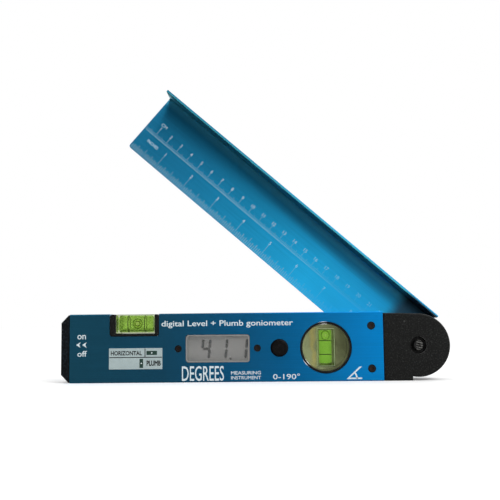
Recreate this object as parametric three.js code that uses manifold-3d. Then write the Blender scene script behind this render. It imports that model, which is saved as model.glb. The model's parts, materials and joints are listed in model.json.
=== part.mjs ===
// Digital goniometer: a folding electronic angle rule with a level vial and a plumb vial.
//
// Millimetres, +Z up. Everything is drawn around the hinge pivot, which runs along Y through the
// origin: the body lies along -X with its front face at y = 0, and the arm folds over the body's
// back. The arm is drawn shut, turned open about the pivot, and at the end the whole tool is moved
// so that the origin is the middle of its box, at the bottom.

import * as THREE from 'three';
import { mergeVertices } from 'three/addons/utils/BufferGeometryUtils.js';
import Module from 'manifold-3d';

const wasm = await Module();
wasm.setup();

// ---------------------------------------------------------------- driving dimensions

const OPENING_DEGREES = 41.1;      // the angle that the display reads
const GAP = 0.3;                   // room between pieces that are fitted into each other
const ROUND = 48;                  // sides of a large circle
const FINE = 20;                   // sides of a small circle

const BODY = { left: -246.5, blockX: -24, top: 23.3, bottom: -24, depth: 25.6, wall: 1.5, edge: 0.6 };
const CAP = { length: 6.2, inset: 0.4, slope: 5.4, shoulder: 1, plug: 8, plugWall: 1.7 };
const EXTRUSION_LEFT = BODY.left + CAP.length;
const MIDLINE = -1;                // height of the display, button, screws and round vial

const SWITCH = { y: 12.8, faceX: EXTRUSION_LEFT - 0.8, width: 9, slotWidth: 4, depth: 5 };
const SLIDER = { travel: 4.5, knob: 5, play: 0.4, high: 5.4, width: 6, groovePitch: 1.4 };
const SLOT_HIGH = SLIDER.high + SLIDER.play;
const SLOT_LOW = SLIDER.high - SLIDER.knob - SLIDER.travel - SLIDER.play;

const DISPLAY = { x: -137.7, width: 43.8, height: 18.6, corner: 2, front: 0.4, ledge: 1.8, screwPitch: 54.6 };
const GLASS = { width: 46, height: 20, front: 3.1, back: 5.9 };
const ZEBRA = { halfLength: 20, low: -8.2, high: -5.8 };   // measured from the display's middle
const BUTTON = { x: -95.2, radius: 5.85, proud: 1.2, travel: 0.8, contact: 5 };
const BOARD = { left: -170, right: -84.5, low: -15, high: 13, front: 8.6, thickness: 1.6 };

const LEVEL = { left: -212.7, right: -178.2, floor: 7.7, corner: 1.8 };
const LEVEL_BLOCK = { left: -208.2, right: -181.5, low: 9.9, high: 23, front: 0.8, back: 24.8 };
const LEVEL_VIAL = { z: 17, bore: 5.45, wall: 1.5, plug: 1.6, bubbleX: -194.2 };
const LABEL = { left: -212.9, right: -175.9, low: -14.7, high: -0.3, thickness: 0.2 };

const PLUMB = { x: -63.3, radius: 17.5, band: 1.2 };
const PLUMB_BLOCK = { halfWidth: 6, low: -13.7, high: 12, front: 1.3, back: 17 };
const PLUMB_VIAL = { y: 8.6, bore: 4.3, wall: 1, plug: 1.5 };

const TRAY = { left: -170, right: -103, low: -15, high: 13.2, front: 12.3, floor: 1.2, wall: 1.5 };
const CELL = { radius: 5.25, length: 44.5, x0: -160.6, y: 18.8, spread: 5.9, nub: 1.9 };
const CONTACT = {
  thickness: 0.4, reach: CELL.spread + 4, left: CELL.x0 - 6.2, right: CELL.x0 + CELL.length + 4,
};
const SPRING = { wire: 0.35, wide: 3.6, narrow: 2, turns: 3, left: 5.2, right: 3.6 };
const DOOR = { left: -168.3, right: -110.3, low: -13.6, high: 11.8, thickness: 1.1, travel: 5.5 };

const HINGE_SCREW = { x: -32.1, pitch: 29.2, head: 2.5, shank: 1.3, front: 0.4, headDepth: 1.3, tip: 14 };
const DISPLAY_SCREW = { head: 2.2, shank: 1.2, front: 0.3, headDepth: 1.3, tip: 7.2 };
const KNUCKLE = { radius: 21.6, top: 22.3, step: -4.1, fillet: 1.2, depth: 14 };
const CAVITY = { radius: 19, floor: 9 };
const RECESS = { radius: 6, depth: 4 };
const BOLT = { head: 3.7, shank: 2.8, hole: 3.2, socket: 1.7, front: 1.3 };
const NUT = { radius: 4.6, low: 5.8, high: 2.4 };   // low and high are depths below the arm's back
const WASHER = { inside: 3.4, outside: 6 };
const SENSOR_BORE = WASHER.outside + 0.6;

const ARM = {
  start: 1.2, end: 251.5, inner: -23.2, outer: 25.2, plate: 2, flange: 1.55, reach: 21, corner: 2, fillet: 1,
};
const ARM_FRONT = BODY.depth + 0.8;
const ARM_BACK = ARM_FRONT + ARM.plate;
const HUB = { front: KNUCKLE.depth + 0.4, boss: 16.5, bush: 4.6, nutRoom: 5 };
const HUB_SCREWS = [[-12, -11], [-15, 0], [-12, 11]];
// Drawn facing the front, as if the arm's back were at -ARM_BACK.
const HUB_SCREW = { head: 2.4, shank: 1.3, front: 0.1 - ARM_BACK, headDepth: 1.6, tip: 7 - ARM_FRONT };

// ---------------------------------------------------------------- materials

function finish(color, roughness, metalness) {
  return new THREE.MeshStandardMaterial({ color, roughness, metalness });
}

const MATERIAL = {
  anodised: finish(0x0c6ea5, 0.35, 0.85),
  blackPlastic: finish(0x242625, 0.7, 0),
  darkPlastic: finish(0x1a1b1b, 0.45, 0),
  blackSteel: finish(0x2b2c2e, 0.4, 0.9),
  steel: finish(0xb8bbbd, 0.3, 1),
  springSteel: finish(0xa7a9ab, 0.35, 1),
  brass: finish(0xc2a05a, 0.35, 1),
  clear: finish(0xdfe6dc, 0.08, 0),
  amberClear: finish(0x9a996c, 0.15, 0),
  greenLiquid: finish(0x9ac42b, 0.1, 0),
  lcd: finish(0x827d7a, 0.3, 0),
  circuitBoard: finish(0x1f5a35, 0.5, 0),
  rubber: finish(0x4a4c4d, 0.8, 0),
  nylon: finish(0xdedbd0, 0.5, 0),
  label: finish(0xaeb9b9, 0.6, 0),
  cable: finish(0x8d9092, 0.6, 0),
  battery: finish(0x3d6b8f, 0.4, 0.3),
};

// ---------------------------------------------------------------- solid helpers

function toSolid(geometry) {
  const plain = geometry.clone();
  plain.deleteAttribute('normal');
  plain.deleteAttribute('uv');
  const merged = mergeVertices(plain, 1e-4);
  return new wasm.Manifold(new wasm.Mesh({
    numProp: 3,
    vertProperties: Float32Array.from(merged.attributes.position.array),
    triVerts: Uint32Array.from(merged.index.array),
  }));
}

function toGeometry(solid) {
  const mesh = solid.getMesh();
  const geometry = new THREE.BufferGeometry();
  geometry.setAttribute('position', new THREE.BufferAttribute(Float32Array.from(mesh.vertProperties), 3));
  geometry.setIndex(new THREE.BufferAttribute(Uint32Array.from(mesh.triVerts), 1));
  return geometry;
}

function cut(geometry, ...tools) {
  return toGeometry(tools.reduce((solid, tool) => solid.subtract(toSolid(tool)), toSolid(geometry)));
}

function join(geometry, ...others) {
  return toGeometry(others.reduce((solid, other) => solid.add(toSolid(other)), toSolid(geometry)));
}

function block(low, high) {
  const size = high.map((value, i) => value - low[i]);
  const middle = high.map((value, i) => (value + low[i]) / 2);
  return new THREE.BoxGeometry(...size).translate(...middle);
}

// Round bars along each axis, given by the middle of the circle and the two ends.
function roundY(x, z, radius, y0, y1, sides = FINE) {
  return new THREE.CylinderGeometry(radius, radius, y1 - y0, sides).translate(x, (y0 + y1) / 2, z);
}

function roundX(y, z, radius, x0, x1, sides = FINE) {
  const bar = new THREE.CylinderGeometry(radius, radius, x1 - x0, sides).rotateZ(-Math.PI / 2);
  return bar.translate((x0 + x1) / 2, y, z);
}

function roundZ(x, y, radius, z0, z1, sides = FINE) {
  const bar = new THREE.CylinderGeometry(radius, radius, z1 - z0, sides).rotateX(Math.PI / 2);
  return bar.translate(x, y, (z0 + z1) / 2);
}

// An outline in the X-Z plane given thickness from y0 back to y1, with an optional bevel.
function slab(outline, y0, y1, bevel = 0, bevelSegments = 1, curveSegments = 6) {
  const shape = new THREE.ExtrudeGeometry(outline, {
    depth: y1 - y0 - 2 * bevel,
    bevelEnabled: bevel > 0,
    bevelThickness: bevel,
    bevelSize: bevel,
    bevelOffset: -bevel,
    bevelSegments,
    curveSegments,
  });
  return shape.rotateX(Math.PI / 2).translate(0, y1 - bevel, 0);
}

// An outline in the Y-Z plane run along X.
function bar(outline, x0, x1) {
  const shape = new THREE.ExtrudeGeometry(outline, { depth: x1 - x0, bevelEnabled: false, curveSegments: 6 });
  const turn = new THREE.Matrix4().makeBasis(
    new THREE.Vector3(0, 1, 0), new THREE.Vector3(0, 0, 1), new THREE.Vector3(1, 0, 0));
  return shape.applyMatrix4(turn).translate(x0, 0, 0);
}

function rectangle(left, right, low, high, corner = 0) {
  const shape = new THREE.Shape();
  shape.moveTo(left + corner, low);
  shape.lineTo(right - corner, low);
  if (corner) shape.absarc(right - corner, low + corner, corner, -Math.PI / 2, 0);
  shape.lineTo(right, high - corner);
  if (corner) shape.absarc(right - corner, high - corner, corner, 0, Math.PI / 2);
  shape.lineTo(left + corner, high);
  if (corner) shape.absarc(left + corner, high - corner, corner, Math.PI / 2, Math.PI);
  shape.lineTo(left, low + corner);
  if (corner) shape.absarc(left + corner, low + corner, corner, Math.PI, Math.PI * 1.5);
  return shape;
}

function polygon(points) {
  return new THREE.Shape(points.map(([u, v]) => new THREE.Vector2(u, v)));
}

function chamferedRectangle(left, right, low, high, edge) {
  return polygon([
    [left + edge, low], [right - edge, low], [right, low + edge], [right, high - edge],
    [right - edge, high], [left + edge, high], [left, high - edge], [left, low + edge],
  ]);
}

// A ring about Y: a washer, a bush or a sleeve.
function ring(x, z, inside, outside, y0, y1, sides = ROUND) {
  return cut(roundY(x, z, outside, y0, y1, sides), roundY(x, z, inside, y0 - 1, y1 + 1, sides));
}

// A machine screw with a hexagon socket, its head facing -Y.
function screw(x, z, { head, shank, front, headDepth, tip }) {
  const socket = roundY(x, z, head * 0.55, front - 1, front + headDepth * 0.6, 6);
  const stem = roundY(x, z, shank, front + headDepth / 2, tip);
  return cut(join(roundY(x, z, head, front, front + headDepth), stem), socket);
}

// The same feature at equal distances to either side of a middle.
function pair(distance, make) {
  return [-1, 1].map((side) => make(side * distance / 2));
}

// A flat cable: a smooth path in the X-Z plane, as wide as y0 to y1.
function flatCable(path, thickness, y0, y1) {
  const points = new THREE.SplineCurve(path.map(([x, z]) => new THREE.Vector2(x, z))).getPoints(24);
  const upper = [];
  const lower = [];
  points.forEach((point, i) => {
    const before = points[Math.max(i - 1, 0)];
    const after = points[Math.min(i + 1, points.length - 1)];
    const along = after.clone().sub(before).normalize();
    const side = new THREE.Vector2(-along.y, along.x).multiplyScalar(thickness / 2);
    upper.push(point.clone().add(side));
    lower.unshift(point.clone().sub(side));
  });
  return slab(new THREE.Shape([...lower, ...upper]), y0, y1);
}

class ConicalHelix extends THREE.Curve {
  constructor(x, y, z, length, radius, narrow, turns) {
    super();
    Object.assign(this, { x, y, z, length, radius, narrow, turns });
  }

  getPoint(t, target = new THREE.Vector3()) {
    const angle = t * this.turns * Math.PI * 2;
    const radius = THREE.MathUtils.lerp(this.radius, this.narrow, t);
    const away = new THREE.Vector3(this.length * t, Math.cos(angle) * radius, Math.sin(angle) * radius);
    return target.set(this.x, this.y, this.z).add(away);
  }
}

function add(group, name, geometry, material) {
  const mesh = new THREE.Mesh(geometry, material);
  mesh.name = name;
  group.add(mesh);
}

// ---------------------------------------------------------------- body shell

function bodyExtrusion() {
  const { top, bottom, depth, wall, edge, blockX } = BODY;
  const outside = chamferedRectangle(0, depth, bottom, top, edge);
  const inside = rectangle(wall, depth - wall, bottom + wall, top - wall);
  const tube = cut(bar(outside, EXTRUSION_LEFT, blockX), bar(inside, EXTRUSION_LEFT - 1, blockX + 1));
  const frontHole = (x, z, radius, sides) => roundY(x, z, radius + GAP, -1, wall + 1, sides);
  const halfWidth = DISPLAY.width / 2 + GAP;
  const halfHeight = DISPLAY.height / 2 + GAP;
  const window = rectangle(DISPLAY.x - halfWidth, DISPLAY.x + halfWidth,
    MIDLINE - halfHeight, MIDLINE + halfHeight, DISPLAY.corner);
  return cut(tube,
    slab(window, -1, wall + 1),
    frontHole(BUTTON.x, MIDLINE, BUTTON.radius, 32),
    ...pair(DISPLAY.screwPitch, (offset) => frontHole(DISPLAY.x + offset, MIDLINE, DISPLAY_SCREW.head)),
    ...pair(HINGE_SCREW.pitch, (offset) => frontHole(HINGE_SCREW.x, MIDLINE + offset, HINGE_SCREW.head)),
    roundY(PLUMB.x, MIDLINE, PLUMB.radius + GAP, -1, depth + 1, ROUND),
    slab(rectangle(LEVEL.left, LEVEL.right, LEVEL.floor, top + 10, LEVEL.corner), -1, depth + 1),
    block([TRAY.left, depth - wall - 1, TRAY.low], [TRAY.right, depth + 1, TRAY.high]));
}

// ---------------------------------------------------------------- end cap and power switch

function endCap() {
  const { left, top, bottom, depth, wall } = BODY;
  const { inset, slope, plug, plugWall } = CAP;
  const right = EXTRUSION_LEFT - 0.1;
  const shoulder = right - CAP.shoulder;
  const outline = polygon([
    [right, bottom + inset], [right, top - inset], [shoulder, top - inset],
    [left, top - inset - slope], [left, bottom + inset + slope], [shoulder, bottom + inset],
  ]);
  const plugBox = (from, to, margin) => (
    block([from, margin, bottom + margin], [to, depth - margin, top - margin]));
  const outer = plugBox(right - 1, right + plug, wall + GAP);
  const hollow = plugBox(right - 0.4, right + plug + 1, wall + GAP + plugWall);
  const halfSlot = SLIDER.width / 2 + SLIDER.play;
  const slot = block([left - 1, SWITCH.y - halfSlot, SLOT_LOW], [right + 1, SWITCH.y + halfSlot, SLOT_HIGH]);
  return cut(join(slab(outline, inset, depth - inset, 0.5), outer), hollow, slot);
}

function switchHousing() {
  const { faceX, y, width, slotWidth, depth } = SWITCH;
  const shell = block([faceX + 1, y - width / 2, SLOT_LOW - 2],
    [faceX + 1 + depth, y + width / 2, SLOT_HIGH + 2]);
  const slot = block([faceX, y - slotWidth / 2, SLOT_LOW + SLIDER.play],
    [faceX + depth - 1, y + slotWidth / 2, SLOT_HIGH - SLIDER.play]);
  return cut(shell, slot);
}

function powerSlider() {
  const { high, knob, width, groovePitch } = SLIDER;
  const { faceX, y, depth, slotWidth } = SWITCH;
  const middle = high - knob / 2;
  const front = BODY.left + 0.4;
  const stemHalf = 1.2;
  const grooveHalf = 0.25;
  const grip = block([front, y - width / 2, high - knob], [faceX - GAP, y + width / 2, high]);
  const stem = block([faceX - 1, y - slotWidth * 0.35, middle - stemHalf],
    [faceX + depth - 1 - 2 * GAP, y + slotWidth * 0.35, middle + stemHalf]);
  const groove = (z) => (
    block([front - 1, y - width, z - grooveHalf], [front + 0.5, y + width, z + grooveHalf]));
  const grooves = [-groovePitch, 0, groovePitch].map((offset) => groove(middle + offset));
  return cut(join(grip, stem), ...grooves);
}

// ---------------------------------------------------------------- display, button and board

// A box centred on the display, given by its half width and half height.
function displayBox(halfWidth, halfHeight, y0, y1) {
  return block([DISPLAY.x - halfWidth, y0, MIDLINE - halfHeight],
    [DISPLAY.x + halfWidth, y1, MIDLINE + halfHeight]);
}

function lcdWindow() {
  const { x, width, height, corner, front, ledge } = DISPLAY;
  const pane = (margin, y0, y1) => slab(rectangle(
    x - width / 2 - margin, x + width / 2 + margin,
    MIDLINE - height / 2 - margin, MIDLINE + height / 2 + margin, corner), y0, y1);
  return join(pane(0, front, ledge + 0.4), pane(1.3, ledge, ledge + 1));
}

function lcdGlass() {
  return displayBox(GLASS.width / 2, GLASS.height / 2, GLASS.front, GLASS.back);
}

function lcdHolder() {
  const back = BOARD.front - GAP;
  const body = displayBox(GLASS.width / 2 + 1.6, GLASS.height / 2 + 2, GLASS.front, back);
  const bossAt = (offset, radius, y0, y1) => roundY(DISPLAY.x + offset, MIDLINE, radius, y0, y1);
  const bosses = pair(DISPLAY.screwPitch, (offset) => bossAt(offset, 3.6, BODY.wall + GAP, back));
  const pilotRadius = DISPLAY_SCREW.shank + GAP;
  const pilots = pair(DISPLAY.screwPitch, (offset) => bossAt(offset, pilotRadius, 1, back - 0.7));
  const pocket = displayBox(GLASS.width / 2 + GAP, GLASS.height / 2 + GAP, 2, GLASS.back + GAP);
  const stripSlot = block([DISPLAY.x - ZEBRA.halfLength - 0.6, GLASS.front, MIDLINE + ZEBRA.low - 0.4],
    [DISPLAY.x + ZEBRA.halfLength + 0.6, back + 1, MIDLINE + ZEBRA.high + 0.4]);
  return cut(join(body, ...bosses), pocket, stripSlot, ...pilots);
}

function zebraStrip() {
  return block([DISPLAY.x - ZEBRA.halfLength, GLASS.back + 0.1, MIDLINE + ZEBRA.low],
    [DISPLAY.x + ZEBRA.halfLength, BOARD.front - 0.1, MIDLINE + ZEBRA.high]);
}

function mainBoard() {
  const { left, right, low, high, front, thickness } = BOARD;
  return block([left, front, low], [right, front + thickness, high]);
}

function controllerChip() {
  const back = BOARD.front + BOARD.thickness;
  return block([BUTTON.x - 5, back + 0.05, MIDLINE - 9], [BUTTON.x + 5, back + 1.5, MIDLINE + 1]);
}

function buttonSwitch() {
  const base = block([BUTTON.x - 3, 5.9, MIDLINE - 3], [BUTTON.x + 3, BOARD.front - 0.05, MIDLINE + 3]);
  return join(base, roundY(BUTTON.x, MIDLINE, 1.7, BUTTON.contact, 6.4));
}

// A domed cap that pokes through the front wall and is held in by its flange.
function holdButton() {
  const { x, radius, proud, travel, contact } = BUTTON;
  const collar = roundY(x, MIDLINE, radius + 1, BODY.wall + GAP, BODY.wall + 1.1, 32);
  const stem = roundY(x, MIDLINE, 1.6, 1, contact - travel - 0.1);
  const crown = new THREE.CylinderGeometry(radius, radius - 0.7, 0.5, 32).translate(x, 0.25 - proud, MIDLINE);
  return join(crown, roundY(x, MIDLINE, radius, 0.5 - proud, 2.4, 32), collar, stem);
}

// ---------------------------------------------------------------- level vial in the top edge

function levelHolder() {
  const { left, right, floor, corner } = LEVEL;
  const outline = rectangle(left + GAP, right - GAP, floor + GAP, BODY.top - GAP, corner - GAP);
  const pocket = block([LEVEL_BLOCK.left - GAP, -1, LEVEL_BLOCK.low - GAP],
    [LEVEL_BLOCK.right + GAP, BODY.depth + 1, BODY.top + 1]);
  return cut(slab(outline, 0.2, BODY.depth - 0.2), pocket);
}

// A round bar along the level vial.
function alongLevel(radius, x0, x1) {
  return roundX(BODY.depth / 2, LEVEL_VIAL.z, radius, x0, x1, 32);
}

function levelBlock() {
  const { left, right, low, high, front, back } = LEVEL_BLOCK;
  return cut(block([left, front, low], [right, back, high]),
    alongLevel(LEVEL_VIAL.bore, left + LEVEL_VIAL.wall, right + 1));
}

// The bubble is an open pocket in the top of the liquid.
function levelLiquid() {
  const { z, bore, wall, plug, bubbleX } = LEVEL_VIAL;
  const filling = alongLevel(bore - GAP, LEVEL_BLOCK.left + wall + GAP, LEVEL_BLOCK.right - plug - 2 * GAP);
  const bubble = new THREE.SphereGeometry(1, 20, 12).scale(3.8, 3, 3);
  return cut(filling, bubble.translate(bubbleX, BODY.depth / 2, z + bore - 2));
}

function levelPlug() {
  const end = LEVEL_BLOCK.right - 0.1;
  return alongLevel(LEVEL_VIAL.bore - GAP, end - LEVEL_VIAL.plug, end);
}

function vialLabel() {
  const { left, right, low, high, thickness } = LABEL;
  return block([left, -thickness, low], [right, -0.02, high]);
}

// ---------------------------------------------------------------- round plumb vial

function plumbRing() {
  const { x, radius, band } = PLUMB;
  return ring(x, MIDLINE, radius - band, radius, 0.2, BODY.depth - 0.2);
}

function plumbDisc() {
  const { x, radius, band } = PLUMB;
  const { halfWidth, low, high, back } = PLUMB_BLOCK;
  const disc = roundY(x, MIDLINE, radius - band - GAP, 1, BODY.depth - 1, ROUND);
  return cut(disc, block([x - halfWidth - GAP, 0, low - GAP], [x + halfWidth + GAP, back + GAP, high + GAP]));
}

// A round bar along the plumb vial.
function alongPlumb(radius, z0, z1) {
  return roundZ(PLUMB.x, PLUMB_VIAL.y, radius, z0, z1, 32);
}

function plumbBlock() {
  const { halfWidth, low, high, front, back } = PLUMB_BLOCK;
  return cut(block([PLUMB.x - halfWidth, front, low], [PLUMB.x + halfWidth, back, high]),
    alongPlumb(PLUMB_VIAL.bore, low - 1, high - PLUMB_VIAL.wall));
}

function plumbLiquid() {
  const { y, bore, wall, plug } = PLUMB_VIAL;
  const top = PLUMB_BLOCK.high - wall - GAP;
  const filling = alongPlumb(bore - GAP, PLUMB_BLOCK.low + plug + 2 * GAP, top);
  const bubble = new THREE.SphereGeometry(1, 20, 12).scale(2.9, 2.9, 3.6);
  return cut(filling, bubble.translate(PLUMB.x, y, top - 2));
}

function plumbPlug() {
  const end = PLUMB_BLOCK.low + 0.1;
  return alongPlumb(PLUMB_VIAL.bore - GAP, end, end + PLUMB_VIAL.plug);
}

// ---------------------------------------------------------------- batteries behind the board

function batteryTray() {
  const { left, right, low, high, front, floor, wall } = TRAY;
  const back = BODY.depth - 0.1;
  const body = block([left + GAP, front, low + GAP], [right - GAP, back, high - GAP]);
  const cellRoom = block([left + GAP + wall, front + floor, low + GAP + wall],
    [DOOR.right - 1, back + 1, high - GAP - wall]);
  const spareRoom = block([DOOR.right, front - 1, low - 1],
    [right + 1, BODY.depth - BODY.wall - GAP - 1, high + 1]);
  const doorRoom = block([DOOR.left - GAP, back - DOOR.thickness - 0.2, DOOR.low - GAP],
    [DOOR.right + DOOR.travel + GAP, back + 1, DOOR.high + GAP]);
  return cut(body, cellRoom, spareRoom, doorRoom);
}

function batteryDoor() {
  const back = BODY.depth - 0.1;
  const plate = block([DOOR.left, back - DOOR.thickness, DOOR.low], [DOOR.right, back, DOOR.high]);
  const middle = (DOOR.low + DOOR.high) / 2;
  const grip = (x) => block([x - 1, back - 0.4, middle - 6], [x, back + 1, middle + 6]);
  const grips = [4, 6, 8, 10].map((inset) => grip(DOOR.right - inset));
  return cut(plate, ...grips);
}

function battery(side) {
  const z = MIDLINE + side * CELL.spread;
  const nub = side > 0 ? CELL.x0 + CELL.length : CELL.x0;
  return join(roundX(CELL.y, z, CELL.radius, CELL.x0 + 0.8, CELL.x0 + CELL.length - 0.8, 24),
    roundX(CELL.y, z, CELL.nub, nub - 1, nub + 1, 12));
}

// The spring presses the flat end: right of the lower cell, left of the upper one.
function batterySpring(side) {
  const z = MIDLINE + side * CELL.spread;
  const { wire, wide, narrow, turns, left, right } = SPRING;
  const section = new THREE.Shape();
  section.absarc(0, 0, wire, 0, Math.PI * 2);
  const start = side > 0 ? CELL.x0 - left : CELL.x0 + CELL.length + right;
  const helix = new ConicalHelix(start, CELL.y, z, side > 0 ? left + 0.1 : -right, wide, narrow, turns);
  return new THREE.ExtrudeGeometry(section, {
    steps: 40, extrudePath: helix, curveSegments: 3, bevelEnabled: false,
  });
}

function batteryContact(x, low, high) {
  return block([x, TRAY.front + TRAY.floor + 0.5, MIDLINE + low],
    [x + CONTACT.thickness, BODY.depth - 3, MIDLINE + high]);
}

// ---------------------------------------------------------------- hinge

// From the body's end the top runs down to the round knuckle, and the underside steps up to it.
function hingeOutline() {
  const { radius, top, step } = KNUCKLE;
  const left = BODY.blockX + 0.1;
  const stepAngle = -Math.PI / 2 + Math.asin(step / radius);
  const cornerAngle = Math.atan2(top, left);
  const tangentAngle = cornerAngle - Math.acos(radius / Math.hypot(left, top));
  const outline = new THREE.Shape();
  outline.moveTo(left, BODY.bottom);
  outline.lineTo(step, BODY.bottom);
  outline.absarc(0, 0, radius, stepAngle, tangentAngle);
  outline.lineTo(left, top);
  return outline;
}

function hingeBlock() {
  const { top, bottom, depth, wall, blockX } = BODY;
  const { radius, fillet, depth: knuckleDepth } = KNUCKLE;
  const plugLeft = blockX - 18;      // the stub inside the tube
  const cableHalf = 9.5;             // half the height of the room for the cable
  const plug = block([plugLeft, wall + GAP, bottom + wall + GAP],
    [blockX + 1, depth - wall - GAP, KNUCKLE.top - wall - GAP]);
  const cableRoom = block([plugLeft - 1, wall, MIDLINE - cableHalf],
    [blockX - 2, depth, MIDLINE + cableHalf]);
  const cableSlot = block([blockX - 4, CAVITY.floor + 0.6, -3], [-10, CAVITY.floor + 4, 3]);
  const pilots = pair(HINGE_SCREW.pitch, (offset) => (
    roundY(HINGE_SCREW.x, MIDLINE + offset, HINGE_SCREW.shank + GAP, 0, 15)));
  return cut(join(slab(hingeOutline(), 0, depth, fillet, 3, 28), plug),
    roundY(0, 0, radius + 0.6, knuckleDepth, depth + 1, ROUND),
    block([-8, knuckleDepth, bottom - 1], [radius + 1, depth + 1, top + 1]),
    roundY(0, 0, CAVITY.radius, CAVITY.floor, depth + 1, ROUND),
    roundY(0, 0, RECESS.radius, -1, RECESS.depth, 32),
    roundY(0, 0, BOLT.hole, 0, depth),
    cableSlot,
    cableRoom,
    ...pilots);
}

function pivotBolt() {
  const { head, shank, socket, front } = BOLT;
  const chamfer = 0.6;
  const crown = new THREE.CylinderGeometry(head, head - chamfer, chamfer, 28);
  crown.translate(0, front + chamfer / 2, 0);
  const rest = roundY(0, 0, head, front + chamfer, RECESS.depth - 0.1, 28);
  return cut(join(crown, rest, roundY(0, 0, shank, front + 2, ARM_BACK - 1.2)),
    roundY(0, 0, socket, 0, front + 1.8, 6));
}

function pivotNut() {
  return cut(roundY(0, 0, NUT.radius, ARM_BACK - NUT.low, ARM_BACK - NUT.high, 6),
    roundY(0, 0, BOLT.shank + GAP, 0, ARM_BACK + 1));
}

function frictionWasher() {
  return ring(0, 0, WASHER.inside, WASHER.outside, CAVITY.floor + 0.1, CAVITY.floor + 1.2);
}

// A thin ring that rises and falls three times around.
function waveWasher() {
  const washer = ring(0, 0, WASHER.inside, WASHER.outside, 11, 11.5);
  const position = washer.attributes.position;
  for (let i = 0; i < position.count; i += 1) {
    const angle = Math.atan2(position.getZ(i), position.getX(i));
    position.setY(i, position.getY(i) + 0.45 * Math.cos(3 * angle));
  }
  return washer;
}

function encoderStator() {
  return ring(0, 0, SENSOR_BORE, CAVITY.radius - GAP, CAVITY.floor + 0.2, CAVITY.floor + 1.4);
}

function encoderRotor() {
  return ring(0, 0, SENSOR_BORE, CAVITY.radius - 2, CAVITY.floor + 2.2, CAVITY.floor + 3.2);
}

function encoderCable() {
  const path = [
    [BOARD.right + 0.3, -11], [-81.5, -18], [-76, -20.6], [-63.8, -21], [-50, -20.6], [-44.3, -14],
    [-43.2, -4], [-36, 0], [-26, 0.2], [-19.2, 0.2],
  ];
  return flatCable(path, 0.7, CAVITY.floor + 1.0, CAVITY.floor + 3.6);
}

function switchCable() {
  const path = [
    [SWITCH.faceX + 6.3, 0], [-228, -1.5], [-215, -5], [-200, -2], [-185, -4], [BOARD.left - 0.3, -3],
  ];
  return flatCable(path, 0.8, 7, 12);
}

// ---------------------------------------------------------------- arm, drawn shut

function armExtrusion() {
  const { start, end, inner, outer, flange, reach, corner, fillet } = ARM;
  const plateOutline = new THREE.Shape();
  plateOutline.moveTo(-start, inner);
  plateOutline.lineTo(-start, outer);
  plateOutline.lineTo(-end, outer);
  plateOutline.lineTo(-end, inner + corner);
  plateOutline.absarc(-end + corner, inner + corner, corner, Math.PI, Math.PI * 1.5);
  const wall = outer - flange;
  const back = ARM_BACK - 0.2;
  const flangeOutline = polygon([
    [ARM_BACK - reach, wall], [ARM_FRONT - fillet, wall], [ARM_FRONT, wall - fillet],
    [back, wall - fillet], [back, outer], [ARM_BACK - reach, outer],
  ]);
  const holes = HUB_SCREWS.map(([x, z]) => roundY(x, z, HUB_SCREW.head + GAP, 0, ARM_BACK + 1));
  const profile = join(slab(plateOutline, ARM_FRONT, ARM_BACK), bar(flangeOutline, -end, -start));
  return cut(profile, roundY(0, 0, HUB.nutRoom + 0.5, 0, ARM_BACK + 1, 32), ...holes);
}

// A disc in the knuckle's recess, a boss down to the sensor, and a half cover beside the plate's end.
function armHub() {
  const radius = KNUCKLE.radius;
  const disc = roundY(0, 0, radius, HUB.front, ARM_FRONT - GAP, ROUND);
  const boss = roundY(0, 0, HUB.boss, CAVITY.floor + 3.5, HUB.front + 1, ROUND);
  const cover = cut(roundY(0, 0, radius, ARM_FRONT - 1, ARM_BACK - 0.2, ROUND),
    block([-radius - 1, ARM_FRONT - 2, -radius - 1], [-ARM.start + GAP, ARM_BACK, radius + 1]));
  const pilots = HUB_SCREWS.map(([x, z]) => roundY(x, z, HUB_SCREW.shank + GAP, ARM_FRONT - 8, ARM_BACK));
  return cut(join(disc, boss, cover),
    roundY(0, 0, HUB.bush + GAP, 0, ARM_BACK),
    roundY(0, 0, HUB.nutRoom, ARM_BACK - 6, ARM_BACK + 1, 32),
    ...pilots);
}

function pivotBush() {
  return ring(0, 0, BOLT.shank + GAP, HUB.bush, CAVITY.floor + 3.8, ARM_BACK - 6.2, 32);
}

// Countersunk from the back, so the screw is drawn facing the front and turned round.
function hubScrew([x, z]) {
  return screw(-x, z, HUB_SCREW).rotateZ(Math.PI);
}

// ---------------------------------------------------------------- assembly

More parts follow.
